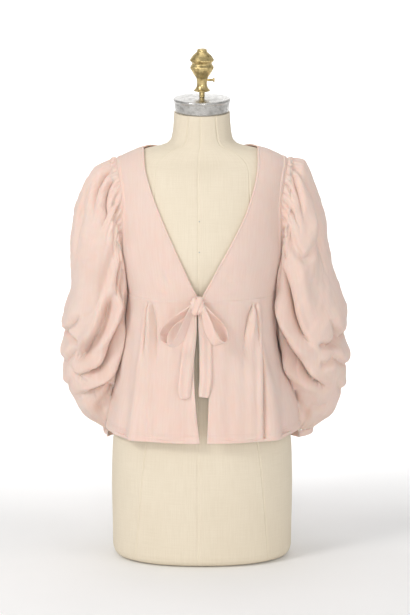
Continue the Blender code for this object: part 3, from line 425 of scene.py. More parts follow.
@dataclass(frozen=True)
class BodyShape:
    """The form, the bodice close on it and the flared peplum, as stacks of level sections."""

    form: Table = FORM_LEVELS
    ease: Table = BODICE_EASE
    skirt: Table = PEPLUM_LEVELS
    fan_reach: float = FAN_REACH
    step: float = 1e-4  # that slopes are measured over
    ray: float = 0.16  # longer than any way out of the form
    halvings: int = 40
    widening: float = 0.6  # power of a large fold's widening from seam to hem

    def form_level(self, height: Array | float) -> Array:
        """The form's half width and its depths to front and back at a height."""
        return curve_through(self.form, height)

    def bodice_level(self, height: Array | float) -> Array:
        """The same three sizes for the bodice's outer face, a little above the shoulders too."""
        lift = SHOULDER_LIFT * ease_in(height, FAN_Z, ARMHOLE_TOP)
        return self.form_level(height - lift) + curve_through(self.ease, height)

    def skirt_level(self, height: Array, across: Array) -> Array:
        """The same three sizes for the peplum, whose half width differs on its two sides."""
        left, right, front, back = np.moveaxis(curve_through(self.skirt, height), -1, 0)
        return joined(np.where(across < 0, left, right), front, back)

    @property
    def fan_width(self) -> float:
        """The bodice's half width where its rows begin to fan over the shoulders."""
        return float(self.bodice_level(FAN_Z)[0])

    @property
    def ridge(self) -> float:
        """The row that runs along the shoulders."""
        return FAN_Z + self.fan_reach * np.pi / 2

    @staticmethod
    def on_level(turn: Array, height: Array, level: Array) -> Array:
        """Points of a level section: turn is from centre front, plus to the right.

        Each section is the curve |x/w|^n + |y/d|^n = 1 with n of ROUNDNESS.
        """
        across = signed_power(np.sin(turn), 2 / ROUNDNESS) * level[..., 0]
        ahead = signed_power(np.cos(turn), 2 / ROUNDNESS)
        deep = np.where(ahead > 0, level[..., 1], level[..., 2])
        return joined(across, -ahead * deep, height)

    @staticmethod
    def side_of(deep: Array, level: Array) -> Array:
        """How far out a level section is at this distance before or behind its middle."""
        depth = np.where(deep < 0, level[..., 1], level[..., 2])
        inside = np.clip(1 - (np.abs(deep) / depth) ** ROUNDNESS, 0, 1)
        return level[..., 0] * inside ** (1 / ROUNDNESS)

    @staticmethod
    def front_of(across: Array, level: Array) -> Array:
        """How far forward a level section is at this distance from its middle."""
        inside = np.clip(1 - (np.abs(across) / level[..., 0]) ** ROUNDNESS, 0, 1)
        return level[..., 1] * inside ** (1 / ROUNDNESS)

    def bodice_value(self, points: Array) -> Array:
        """Below 0 inside the bodice's outer face and above 0 outside it."""
        across, deep, height = np.moveaxis(points, -1, 0)
        level = self.bodice_level(height)
        depth = np.where(deep < 0, level[..., 1], level[..., 2])
        return (np.abs(across) / level[..., 0]) ** ROUNDNESS + (np.abs(deep) / depth) ** ROUNDNESS - 1

    def bodice_normal(self, points: Array) -> Array:
        """Outward directions of the bodice's outer face, from the slope of its value."""
        steps = self.step * np.eye(3)
        slopes = [self.bodice_value(points + step) - self.bodice_value(points - step) for step in steps]
        return unit(np.stack(slopes, axis=-1))

    def bodice_point(self, turn: Array, row: Array) -> Array:
        """A point of the bodice's outer face.

        Up to FAN_Z a row is its own height. Above it the rows fan out about the line through the
        shoulders at that height, and each point is where its ray leaves the stack of sections,
        found by halving.

        Args:
            turn: Angle from centre front, plus to the right.
            row: Height, or beyond FAN_Z the arc length of the fan's turn.

        Returns:
            The points.
        """
        turn, row = np.broadcast_arrays(np.asarray(turn, float), np.asarray(row, float))
        low = np.minimum(row, FAN_Z)
        level_points = self.on_level(turn, low, self.bodice_level(low))
        rise = np.clip((row - FAN_Z) / self.fan_reach, 0, np.pi / 2)
        across = signed_power(np.sin(turn), 2 / ROUNDNESS) * self.fan_width
        facing = np.where(np.cos(turn) > 0, -1.0, 1.0)
        ray = joined(0 * rise, facing * np.cos(rise), np.sin(rise))
        start = joined(across, 0 * across, FAN_Z)
        near, far = np.zeros_like(rise), np.full_like(rise, self.ray)
        for _ in range(self.halvings):
            half = (near + far) / 2
            outside = self.bodice_value(start + half[..., None] * ray) > 0
            near, far = np.where(outside, near, half), np.where(outside, half, far)
        return np.where((row > FAN_Z)[..., None], start + near[..., None] * ray, level_points)

    def row_of(self, points: Array) -> tuple[Array, Array]:
        """The turn and row of points of the bodice's outer face."""
        across, deep, height = np.moveaxis(points, -1, 0)
        width = np.where(height > FAN_Z, self.fan_width, self.bodice_level(height)[..., 0])
        turn = np.arcsin(np.clip((np.abs(across) / width) ** (ROUNDNESS / 2), 0, 1))
        turn = np.where(deep > 0, np.pi - turn, turn) * np.sign(across)
        rise = np.arctan2(height - FAN_Z, np.abs(deep))
        return turn, np.where(height > FAN_Z, FAN_Z + self.fan_reach * rise, height)

    def armhole(self, side: Side, angle: Array) -> tuple[Array, Array, Array]:
        """The armhole, an egg in side view, from the shoulder over the front to the underarm and up.

        Its depth is the reach times sin(a)^ARMHOLE_EGG and its height follows cos(a).

        Args:
            side: Which armhole.
            angle: The turns a to give, 0 at the shoulder and pi at the underarm.

        Returns:
            Points on the bodice's outer face, directions out of it, and directions along it into
            the hole.
        """
        reach = np.where(np.sin(angle) > 0, ARMHOLE_FRONT, ARMHOLE_BACK)
        deep = -reach * signed_power(np.sin(angle).round(9), ARMHOLE_EGG)
        middle, half = (ARMHOLE_TOP + ARMHOLE_FOOT) / 2, (ARMHOLE_TOP - ARMHOLE_FOOT) / 2
        height = middle + half * np.cos(angle)
        across = side.value * self.side_of(deep, self.bodice_level(height))
        points = joined(across, deep, height)
        outward = self.bodice_normal(points)
        inward = np.array([side.value * self.fan_width, 0, middle]) - points
        inward -= (inward * outward).sum(-1, keepdims=True) * outward
        return points, outward, unit(inward)

    def skirt_fold(self, turn: Array, height: Array) -> tuple[Array, Array]:
        """How far the peplum's large folds stand out, and how far they lean to the right."""
        fallen = np.clip((EMPIRE_Z - height) / (EMPIRE_Z - HEM_Z), 0, 1)
        out, lean = 0 * turn, 0 * turn
        for centre, top_width, hem_width, rise, sideways, growth in PEPLUM_FOLDS:
            away = np.degrees((turn - np.radians(centre) + np.pi) % (2 * np.pi) - np.pi)
            width = top_width + (hem_width - top_width) * fallen**self.widening
            bump = np.exp(-((away / width) ** 2)) * fallen**growth
            out = out + rise * bump
            lean = lean + sideways * bump
        return out, lean

    def beside(self, side: Side, deep: Array, height: Array) -> Array:
        """How far out the cloth beside a sleeve reaches."""
        low = np.clip(height, HEM_Z, EMPIRE_Z)
        level = self.skirt_level(low, side.value + 0 * low)
        across = self.side_of(deep, level)
        turn = np.arctan2(side.value * across, -deep * level[..., 0] / level[..., 1])
        skirt = across + self.skirt_fold(turn, low)[0]
        return np.where(height > EMPIRE_Z, self.side_of(deep, self.bodice_level(height)), skirt)

    def front_face(self, across: Array, height: Array) -> Array:
        """How far forward the bodice or the peplum reaches in front of a place."""
        low = np.minimum(height, EMPIRE_Z)
        skirt = self.front_of(across, self.skirt_level(low, across))
        bodice = self.front_of(across, self.bodice_level(np.maximum(height, EMPIRE_Z)))
        return np.where(height > EMPIRE_Z, bodice, skirt)


BODY_SHAPE = BodyShape()


@dataclass(frozen=True)
class Shell:
    """A closed thin shell of cloth between two grids of points, with its own UV map in metres.

    The rims between the grids are closed by a row of points that stands a little beyond the edge,
    so that each edge is rounded.
    """

    name: str
    outer: Array
    inner: Array
    cloth_map: Array  # across and along the cloth, with one column more than a closed grid
    closed: bool = False
    rounding: float = 0.42  # how far the edge's middle stands out, as a share of the wall

    def border(self) -> list[Array]:
        """The grid's edges as loops of point numbers, each ending where it began."""
        rows, columns = self.outer.shape[:2]
        index = np.arange(rows * columns).reshape(rows, columns)
        if self.closed:
            return [np.append(index[0], index[0, 0]), np.append(index[-1], index[-1, 0])]
        return [np.concatenate([index[0], index[1:, -1], index[-1, -2::-1], index[-2::-1, 0]])]

    def beyond(self) -> Array:
        """Directions from each border point away from the cloth, along its face."""
        grid = self.outer
        away = np.zeros_like(grid)
        away[0] += unit(grid[0] - grid[1])
        away[-1] += unit(grid[-1] - grid[-2])
        if not self.closed:
            away[:, 0] += unit(grid[:, 0] - grid[:, 1])
            away[:, -1] += unit(grid[:, -1] - grid[:, -2])
        return unit(away.reshape(-1, 3))

    def rims(self, spot_of: Array) -> tuple[list[Array], list[Array], list[Array]]:
        """What closes the shell along its borders.

        Args:
            spot_of: Place in the cloth's map of each point of the outer grid.

        Returns:
            Faces, their corners' places in the map, and the points halfway through the wall.
        """
        count = len(spot_of)
        outer, inner = self.outer.reshape(-1, 3), self.inner.reshape(-1, 3)
        wall = np.linalg.norm(outer - inner, axis=-1, keepdims=True)
        middles = (outer + inner) / 2 + self.beyond() * wall * self.rounding
        faces, spots, points, start = [], [], [], 2 * count
        for loop in self.border():
            ring = np.arange(len(loop) - 1) + start
            ring = np.append(ring, ring[0])
            a, b = loop[:-1], loop[1:]
            ma, mb = ring[:-1], ring[1:]
            order = slice(None, None, 1 if not self.closed or loop[0] == 0 else -1)
            for quad in ((b, a, ma, mb), (mb, ma, a + count, b + count)):
                faces.append(np.stack(quad, axis=-1)[:, order])
                spots.append(spot_of[joined(b, a, a, b)][:, order])
            points.append(middles[a])
            start += len(a)
        return faces, spots, points

    def make(self) -> Piece:
        """The object, with its faces outward.

        Returns:
            The object, linked to the scene, with a UV map called cloth.
        """
        rows, columns = self.outer.shape[:2]
        count = rows * columns
        index = np.arange(count).reshape(rows, columns)
        places = np.arange(rows * self.cloth_map.shape[1]).reshape(rows, -1)
        spot_of = places[:, :columns].ravel()
        if self.closed:
            index = np.hstack([index, index[:, :1]])
        face, spot = grid_quads(index), grid_quads(places[:, : index.shape[1]])
        outer, inner = self.outer.reshape(-1, 3), self.inner.reshape(-1, 3)
        square = np.cross(outer[face[:, 1]] - outer[face[:, 0]], outer[face[:, 3]] - outer[face[:, 0]])
        order = slice(None, None, -1 if (square * (outer - inner)[face[:, 0]]).sum() < 0 else 1)
        rim_faces, rim_spots, rim_points = self.rims(spot_of)
        faces = np.vstack([face, face[:, ::-1] + count, *rim_faces])[:, order]
        spots = np.vstack([spot, spot[:, ::-1], *rim_spots])[:, order]
        made = new_object(self.name, np.vstack([outer, inner, *rim_points]), faces)
        layer = made.data.uv_layers.new(name="cloth")
        layer.uv.foreach_set("vector", self.cloth_map.reshape(-1, 2)[spots.ravel()].ravel())
        return made


def new_object(name: str, points: Array, faces: Array | list) -> Piece:
    """An object from points and faces, shaded smooth up to edges of SHARP_EDGE degrees.

    Args:
        name: The piece's name.
        points: Its points, in metres.
        faces: Its faces as rows of point numbers, turned outward.

    Returns:
        The object, linked to the scene.
    """
    mesh = bpy.data.meshes.new(name)
    mesh.from_pydata(points, [], faces.tolist() if isinstance(faces, np.ndarray) else faces)
    mesh.shade_smooth()
    mesh.set_sharp_from_angle(angle=np.radians(SHARP_EDGE))
    made = bpy.data.objects.new(name, mesh)
    bpy.context.scene.collection.objects.link(made)
    return made


class NodeBoard:
    """One material and short calls that lay out its nodes.

    times, plus and minus are Math nodes on two sockets or numbers.
    """

    def __init__(self, name: str) -> None:
        """Starts a material with its own shader.

        Args:
            name: The finish's name.
        """
        self.material = bpy.data.materials.new(name)
        self.material.use_nodes = True
        self.tree = self.material.node_tree
        self.shader = self.tree.nodes["Principled BSDF"]
        kinds = ("MULTIPLY", "ADD", "SUBTRACT")
        self.times, self.plus, self.minus = (partial(self.maths, kind) for kind in kinds)

    def add(self, kind: str, **settings: object) -> bpy.types.Node:
        """A new node of this kind with its settings."""
        node = self.tree.nodes.new(kind)
        for name, value in settings.items():
            setattr(node, name, value)
        return node

    def feed(self, socket: Socket, value: object) -> None:
        """Links another node's output to a socket, or sets a plain value on it."""
        if isinstance(value, Socket):
            self.tree.links.new(value, socket)
        else:
            socket.default_value = value

    def maths(self, operation: str, *values: object) -> Socket:
        """The result of a Math node on sockets or numbers."""
        node = self.add("ShaderNodeMath", operation=operation)
        for socket, value in zip(node.inputs, values):
            self.feed(socket, value)
        return node.outputs[0]

    def wear(self, **settings: object) -> None:
        """Sets constants on the shader's own sockets, their names written with low lines."""
        for name, value in settings.items():
            self.shader.inputs[name.replace("_", " ")].default_value = value

    def cloth_axes(self) -> tuple[Socket, Socket]:
        """Metres across and along the cloth, from the piece's own UV map."""
        split = self.add("ShaderNodeSeparateXYZ")
        self.feed(split.inputs[0], self.add("ShaderNodeUVMap", uv_map="cloth").outputs[0])
        return split.outputs[0], split.outputs[1]

    def vector(self, across: Socket, along: Socket) -> Socket:
        """A vector from two values."""
        node = self.add("ShaderNodeCombineXYZ")
        for socket, value in zip(node.inputs, (across, along)):
            self.feed(socket, value)
        return node.outputs[0]

    def solid_place(self) -> Socket:
        """The place in the object's own coordinates, in metres."""
        return self.add("ShaderNodeTexCoord").outputs["Object"]

    def noise(self, place: Socket, scale: float, detail: float = 2.0) -> Socket:
        """Noise from 0 to 1 at a place."""
        node = self.add("ShaderNodeTexNoise")
        self.feed(node.inputs["Vector"], place)
        node.inputs["Scale"].default_value = scale
        node.inputs["Detail"].default_value = detail
        return node.outputs[0]

    def spread(self, value: object, low: float, high: float, new_low: float, new_high: float) -> object:
        """A value moved from one range to another, smooth and clamped."""
        node = self.add("ShaderNodeMapRange", interpolation_type="SMOOTHSTEP")
        for socket, number in zip(node.inputs, (value, low, high, new_low, new_high)):
            self.feed(socket, number)
        return node.outputs[0]

    def shades(self, share: object, first: object, second: object) -> Socket:
        """A colour between two, by a share."""
        node = self.add("ShaderNodeMix", data_type="RGBA")
        self.feed(node.inputs[0], share)
        for socket, value in zip((node.inputs[6], node.inputs[7]), (first, second)):
            self.feed(socket, (*value, 1.0) if isinstance(value, tuple) else value)
        return node.outputs[2]

    def bump(self, height: object, distance: float, strength: float, under: object = None) -> object:
        """A bump of this height in metres, on another one where given."""
        node = self.add("ShaderNodeBump")
        node.inputs["Distance"].default_value = distance
        node.inputs["Strength"].default_value = strength
        self.feed(node.inputs["Height"], height)
        if under is not None:
            self.feed(node.inputs["Normal"], under)
        return node.outputs[0]

    def finish(self, colour: object, roughness: object, normal: object) -> Material:
        """Links the shader's colour, roughness and normal, and gives the material."""
        self.feed(self.shader.inputs["Base Color"], colour)
        self.feed(self.shader.inputs["Roughness"], roughness)
        self.feed(self.shader.inputs["Normal"], normal)
        return self.material


@dataclass(frozen=True)
class KnitFinish:
    """Fine jersey: columns of V stitches, soft streaks along the wales, a little sheen, and painted shade
    in the hollows between the stitches.

    A stitch's height is (1 - ((|x| - 1/4) * 4)^2) * (1 - 2.8 y^2), where x is the place across its
    column and y the place along it, slid by |x| so that the two legs make a V.
    """

    name: str = "blush_knit"
    colour: Row = (0.858, 0.678, 0.604)
    # shade: the darker tone of the streaks, and also the painted shade in the stitches' hollows
    shade: Row = (0.795, 0.575, 0.485)
    wale: float = 0.00135
    course: float = 0.00105
    depth: float = 0.00022

    def make(self) -> Material:
        """The material."""
        board = NodeBoard(self.name)
        across, along = board.cloth_axes()
        wander = board.noise(board.vector(across, along), 60.0, 1.0)
        across = board.plus(across, board.times(wander, 0.0007))
        column = board.maths("DIVIDE", across, self.wale)
        x = board.maths("ABSOLUTE", board.minus(board.maths("FRACT", column), 0.5))
        row = board.plus(board.maths("DIVIDE", along, self.course), board.times(x, 1.3))
        y = board.minus(board.maths("FRACT", row), 0.5)
        leg = board.maths("POWER", board.times(board.minus(x, 0.25), 4.0), 2.0)
        end = board.times(board.times(y, y), 2.8)
        stitch = board.times(board.minus(1.0, leg), board.minus(1.0, end))
        streak = board.noise(board.vector(board.times(across, 14.0), along), 22.0, 3.0)
        cloud = board.noise(board.solid_place(), 14.0, 2.0)
        fuzz = board.noise(board.solid_place(), 900.0, 2.0)
        worn = board.plus(board.times(streak, 0.55), board.times(cloud, 0.45))
        tone = board.shades(board.spread(worn, 0.36, 0.66, 0.42, 0.0), self.colour, self.shade)
        # Painted shade: the stitches' hollows are mixed towards the darker shade colour.
        colour = board.shades(board.spread(stitch, 0.0, 0.8, 0.30, 0.0), tone, self.shade)
        soft = board.bump(board.plus(streak, fuzz), 0.00018, 0.5)
        board.wear(Sheen_Weight=0.18, Sheen_Roughness=0.45, Sheen_Tint=(1.0, 0.90, 0.86, 1.0),
                   Specular_IOR_Level=0.22, Subsurface_Weight=0.40, Subsurface_Radius=(1.0, 0.45, 0.30),
                   Subsurface_Scale=0.003)
        roughness = board.spread(fuzz, 0.3, 0.7, 0.80, 0.94)
        return board.finish(colour, roughness, board.bump(stitch, self.depth, 0.7, soft))


@dataclass(frozen=True)
class LinenFinish:
    """Ecru linen drawn over the form: a plain weave with slubs, a little darker in its hollows as painted
    shade.

    The weave's height is |sin(across)| * |sin(along)| with uneven threads both ways.
    """

    name: str = "ecru_linen"
    colour: Row = (0.815, 0.730, 0.590)
    # shade: the darker tone of the slubs and clouds, and also the painted shade in the weave's hollows
    shade: Row = (0.700, 0.605, 0.460)
    thread: float = 0.0011
    depth: float = 0.00016

    def make(self) -> Material:
        """The material."""
        board = NodeBoard(self.name)
        across, along = board.cloth_axes()
        waves = [board.maths("ABSOLUTE", board.maths("SINE", board.times(way, np.pi / self.thread)))
                 for way in (across, along)]
        weave = board.times(*waves)
        warp = board.noise(board.vector(board.times(across, 30.0), along), 24.0, 3.0)
        weft = board.noise(board.vector(across, board.times(along, 30.0)), 24.0, 3.0)
        slub = board.plus(board.times(warp, 0.6), board.times(weft, 0.4))
        cloud = board.noise(board.solid_place(), 9.0, 3.0)
        tone = board.shades(board.spread(slub, 0.38, 0.62, 0.35, 0.0), self.colour, self.shade)
        tone = board.shades(board.spread(cloud, 0.40, 0.70, 0.0, 0.22), tone, self.shade)
        # Painted shade: the weave's hollows are mixed towards the darker shade colour.
        colour = board.shades(board.spread(weave, 0.0, 0.5, 0.28, 0.0), tone, self.shade)
        under = board.bump(slub, 0.00022, 0.6)
        board.wear(Specular_IOR_Level=0.25)
        roughness = board.spread(slub, 0.3, 0.7, 0.78, 0.92)
        return board.finish(colour, roughness, board.bump(weave, self.depth, 0.7, under))


@dataclass(frozen=True)
class MetalFinish:
    """Brushed or cast metal with brush lines round its axis and cloudy tarnish."""

    name: str
    colour: Row
    tarnish: Row
    smooth: float
    rough: float
    brushed: float  # height of the brush lines
    worn: Row = (0.45, 0.70)  # range of the cloud that the tarnish comes in over

    def make(self) -> Material:
        """The material."""
        board = NodeBoard(self.name)
        place = board.solid_place()
        stretched = board.add("ShaderNodeMapping")
        board.feed(stretched.inputs["Vector"], place)
        stretched.inputs["Scale"].default_value = (12.0, 12.0, 900.0)
        lines = board.noise(stretched.outputs[0], 1.0, 3.0)
        cloud = board.noise(place, 120.0, 4.0)
        colour = board.shades(board.spread(cloud, *self.worn, 0.0, 1.0), self.colour, self.tarnish)
        mixed = board.plus(board.times(lines, 0.5), board.times(cloud, 0.5))
        roughness = board.spread(mixed, 0.35, 0.65, self.smooth, self.rough)
        board.wear(Metallic=1.0)
        pits = board.bump(cloud, 0.00006, 0.5)
        return board.finish(colour, roughness, board.bump(lines, self.brushed, 0.6, pits))


@dataclass(frozen=True)
class FloorFinish:
    """Pale matt studio paper."""

    name: str = "studio_paper"
    colour: Row = (0.96, 0.96, 0.96)
    shade: Row = (0.94, 0.94, 0.94)

    def make(self) -> Material:
        """The material."""
        board = NodeBoard(self.name)
        cloud = board.noise(board.solid_place(), 3.0, 2.0)
        grain = board.noise(board.solid_place(), 400.0, 2.0)
        colour = board.shades(board.spread(cloud, 0.35, 0.65, 0.0, 1.0), self.colour, self.shade)
        roughness = board.spread(grain, 0.3, 0.7, 0.85, 0.95)
        return board.finish(colour, roughness, board.bump(grain, 0.0001, 0.3))


def hand_over(piece: Piece, finish: Material, slot: str, *nodes: str) -> None:
    """Gives a piece its material, rides it on the body and lets it stand for CAD nodes.

    Args:
        piece: The finished object.
        finish: Its material.
        slot: Not used.
        nodes: Names of the CAD nodes that it stands for.
    """
    piece.data.materials.clear()
    piece.data.materials.append(finish)
    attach(piece, BODY)
    if nodes:
        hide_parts(*nodes)


def measure(piece: Piece) -> str:
    """A piece's triangles and half its surface, in words for the log."""
    mesh = piece.data
    mesh.calc_loop_triangles()
    areas = np.empty(len(mesh.loop_triangles))
    mesh.loop_triangles.foreach_get("area", areas)
    return f"{piece.name}: {len(areas)} triangles, {areas.sum() / 2:.4f} square metres to a side"


def capped(name: str, rings: Array, cloth_map: Array | None = None) -> Piece:
    """A solid through closed rings, with each end closed round its middle point.

    Args:
        name: The piece's name.
        rings: Points by ring and place round it.
        cloth_map: Metres across and along, with one column more than the rings, where it has any.

    Returns:
        The object, with its faces outward.
    """
    rows, columns = rings.shape[:2]
    index = np.arange(rows * columns).reshape(rows, columns)
    index = np.hstack([index, index[:, :1]])
    quads = grid_quads(index)
    points = np.vstack([rings.reshape(-1, 3), rings[0].mean(axis=0), rings[-1].mean(axis=0)])
    order = slice(None, None, -1 if inside_out(points, quads) else 1)
    ends = ((0, rows * columns, -1), (rows - 1, rows * columns + 1, 1))
    parts = [quads]
    for row, tip, turn in ends:
        parts.append(joined(index[row, :-1], index[row, 1:], np.full(columns, tip))[:, ::turn])
    made = new_object(name, points, [face for part in parts for face in part[:, order].tolist()])
    if cloth_map is not None:
        places = np.arange(rows * (columns + 1)).reshape(rows, -1)
        parts = [grid_quads(places)]
        for row, _, turn in ends:
            start, end = places[row, :-1], places[row, 1:]
            parts.append(joined(start, end, start)[:, ::turn])
        flat = np.concatenate([part[:, order].ravel() for part in parts])
        layer = made.data.uv_layers.new(name="cloth")
        layer.uv.foreach_set("vector", cloth_map.reshape(-1, 2)[flat].ravel())
    return made


@dataclass(frozen=True)
class StitchRow:
    """A row of sewing stitches, each a small capsule half sunk in the cloth.

    A capsule's radius is r * sqrt(1 - 0.9 t^2) where t runs from -1 to 1 along it, and its middle
    stands a little above its ends.
    """

    pitch: float = 0.0030
    length: float = 0.0022
    radius: float = 0.00034
    rings: int = 5
    sides: int = 6

    def make(self, name: str, path: Array, outward: Array) -> Piece:
        """The row as one object.

        Args:
            name: The piece's name.
            path: Points on the cloth's face that the row follows.
            outward: Directions out of the cloth there.

        Returns:
            The object.
        """
        walked = lengths_along(path[:, None], 0)[:, 0]
        spots = np.arange(self.pitch / 2, walked[-1], self.pitch)
        centre = between(path, walked, spots)
        out = unit(between(outward, walked, spots))
        along = unit(between(np.gradient(path, axis=0), walked, spots))
        aside = np.cross(along, out)
        t = np.linspace(-1, 1, self.rings)[None, :, None, None]
        angle = full_turn(self.sides)[None, None, :, None]
        radius = self.radius * np.sqrt(1 - 0.9 * t**2)
        centre, out, along, aside = (v[:, None, None, :] for v in (centre, out, along, aside))
        points = (centre + along * t * self.length / 2 + out * self.radius * (0.7 - 0.5 * t**2)
                  + radius * (out * np.cos(angle) + aside * np.sin(angle)))
        count = self.rings * self.sides
        ring = np.arange(count).reshape(self.rings, self.sides)
        quads = grid_quads(np.hstack([ring, ring[:, :1]]))
        turn = -1 if inside_out(points[0].reshape(-1, 3), quads) else 1
        one = [face[::turn].tolist() for face in (*quads, ring[0, ::-1], ring[-1])]
        faces = [[corner + count * k for corner in face] for k in range(len(spots)) for face in one]
        return new_object(name, points.reshape(-1, 3), faces)


# Folds of each sleeve seen from the front: distance from the centre and height. A positive roll lies
# on the left of the path as it goes.
LEFT_SLEEVE_FOLDS = (
    soft(8, -5.5, 146, 612, 153, 583, 163, 545, 172, 512, 181, 480, 190, 440, start=0.5, end=0.4),
    soft(8.5, -13, 156, 500, 167, 460, 176, 435, 188, 410, 201, 393, 217, 378, 233, 370, start=0.3,
         end=0.15),
    soft(10, 8, 172, 500, 181, 469, 187, 444, 199, 418, 212, 401, 228, 386, start=0.35, end=0.35),
    soft(4.2, -2, 178, 492, 188, 465, 201, 452, 219, 440),
    soft(8, 8, 147, 500, 155, 469, 160, 444, 171, 418, 184, 397, 196, 376),
    tuck(5.2, -16.5, 4, 137, 496, 144, 460, 150, 439, 156, 418, 163, 397, 169, 376, 179, 356, 195, 346,
         215, 343, 236, 344, start=0.15, end=0.25),
    soft(9, 7.5, 142, 457, 147, 418, 154, 384, 176, 341, 210, 322),
    tuck(4.8, -12, 4.5, 150, 362, 158, 349, 168, 333, 182, 319, 195, 312, 209, 307, 228, 306, start=0.15,
         end=0.3),
    tuck(4, -2.2, 0, 183, 306, 197, 300, 213, 298),
    tuck(5, -9, -5, 250, 428, 240, 416, 228, 406, 214, 397, start=0.02, end=0.45),
    tuck(4, -4, -2, 241, 365, 229, 345, 213, 332, 203, 325),
    soft(10, -7.5, 154, 325, 163, 305, 176, 287, 190, 268, start=0.1),
    tuck(6, -6.2, 2.6, 150, 716, 166, 708, 180, 692, 187, 676, 192, 642, 196, 612, start=0.1, end=0.5),
    tuck(4.6, -5.6, 2.6, 149, 700, 160, 688, 168, 665, 170, 645, 168, 632, 174, 617, 182, 598, start=0.05,
         end=0.5),
    tuck(6, -4.8, 2.2, 192, 700, 202, 686, 210, 658, 218, 626, 226, 585, start=0.3, end=0.5),
    tuck(3.4, -3.4, 1.2, 148, 672, 153, 655, 159, 640, start=0.05),
    tuck(3.4, -3.4, 1.2, 146, 648, 150, 632, 158, 614, start=0.05),
    tuck(4.5, -2.2, -2, 149, 622, 148, 600, 145, 570, 142, 548, start=0.2, end=0.4),
    tuck(5, -6.5, 2, 142, 552, 148, 532, 153, 506, 157, 470, start=0.1, end=0.5),
    tuck(3.8, -6, 1.2, 140, 535, 143, 515, 147, 495, 150, 470, start=0.05, end=0.4),
    soft(15, 3.5, 205, 560, 212, 520, 214, 480, 210, 445, start=0.4, end=0.4),
    soft(10, 4, 215, 300, 200, 282, 186, 262),
)
RIGHT_SLEEVE_FOLDS = (
    soft(6.5, -5.5, 148, 722, 160, 716, 172, 709, 186, 693, 198, 672, 205, 645, 210, 606, 212, 560, 213,
         500, start=0.05, end=0.45),
    tuck(4.8, -5, 2.6, 152, 712, 160, 701, 165, 681, 174, 656, 179, 629, 184, 610, start=0.05, end=0.5),
    tuck(3.6, -4, 1.4, 149, 697, 152, 680, 155, 664, 158, 650, start=0.05, end=0.5),
    tuck(4.6, -5.2, 2.2, 142, 662, 155, 642, 167, 620, 176, 604, start=0.05, end=0.5),
    soft(7.5, -6.2, 141, 614, 155, 593, 162, 575, 171, 561, 181, 553, 193, 560, 203, 582, 209, 604,
         start=0.08, end=0.45),
    tuck(3.8, -4.5, 0, 139, 572, 146, 560, 154, 549, start=0.05, end=0.5),
    tuck(5, -15, 4.5, 143, 540, 147, 528, 152, 512, 157, 495, 161, 474, 166, 450, 173, 429, 180, 415, 191,
         401, 206, 390, start=0.22, end=0.35),
    soft(6, -8.5, 206, 392, 218, 396, 229, 396, 238, 399, 246, 412, 250, 430, start=0.2, end=0.25),
    soft(9, 7.8, 140, 502, 148, 464, 160, 427, 178, 393, 208, 366),
    tuck(5.2, -16.5, 4.5, 136, 470, 139, 450, 145, 424, 156, 392, 171, 369, 187, 343, 198, 332, 210, 325,
         222, 320, 238, 318, start=0.1, end=0.25),
    soft(6, -6.2, 208, 361, 222, 361, 234, 368, 241, 380),
    tuck(5.5, -9, -3, 129, 462, 139, 427, 150, 403, 160, 384, 170, 352, 180, 322, start=0.1, end=0.4),
    soft(9, 7, 144, 388, 158, 358, 178, 334, 214, 308),
    tuck(5, -3.5, 0, 186, 287, 201, 282, 213, 283, 226, 289),
    soft(10, -6.5, 158, 312, 168, 292, 182, 270, 196, 258, start=0.1),
    soft(8.5, 3.8, 190, 690, 198, 650, 201, 600, 199, 560, start=0.3, end=0.5),
    soft(12, 4, 168, 560, 176, 520, 184, 480, 196, 440, start=0.4, end=0.4),
)
# Folds of the sleeves' outer sides: distance behind the shoulder line and height
SIDE_SLEEVE_FOLDS = (
    tuck(6, -4.2, 2, -26, 700, -36, 640, -34, 560, -22, 500, start=0.2, end=0.5),
    tuck(7, -4, -1.8, 6, 705, 12, 640, 22, 570, start=0.2, end=0.6),
    tuck(6.5, -4.4, 2, 38, 690, 55, 620, 62, 540, 58, 480, start=0.2, end=0.5),
    soft(10, -3.6, 10, 560, 20, 500, 36, 460, start=0.4, end=0.4),
    tuck(6, -6.6, 3.4, -48, 452, -20, 418, 22, 404, 70, 420, 100, 448, start=0.15, end=0.3),
    tuck(5.6, -7, 3.4, -40, 390, -4, 356, 40, 350, 88, 372, start=0.2, end=0.25),
    tuck(6.4, -5, 2.4, -14, 330, 20, 304, 64, 300, 100, 318, start=0.3, end=0.3),
    soft(9, 3, -20, 386, 20, 372, 60, 380, start=0.4, end=0.4),
)
LEFT_BODICE_FOLDS = (
    soft(4.5, 1.6, -66, 544, -59, 528, -49, 506),
    soft(5.5, 1.8, -84, 526, -75, 506, -64, 490),
    soft(4, -1.2, -75, 538, -67, 520, -57, 500),
    soft(12, 1.2, -133, 590, -127, 550, -115, 510),
)
RIGHT_BODICE_FOLDS = (
    soft(6, 1.2, 45, 525, 60, 515, 78, 508),
    soft(12, 1.4, 133, 590, 123, 550, 108, 510),
    soft(5, 1.2, 30, 496, 46, 495, 62, 498),
)
BACK_BODICE_FOLDS = (
    soft(11, 1.8, -118, 700, -95, 630, -85, 560),
    soft(12, 1.6, 116, 690, 100, 630, 78, 570),
    soft(7, 1.3, -125, 565, -80, 535, -30, 525),
    soft(7, 1.2, 125, 560, 85, 540, 45, 525),
)
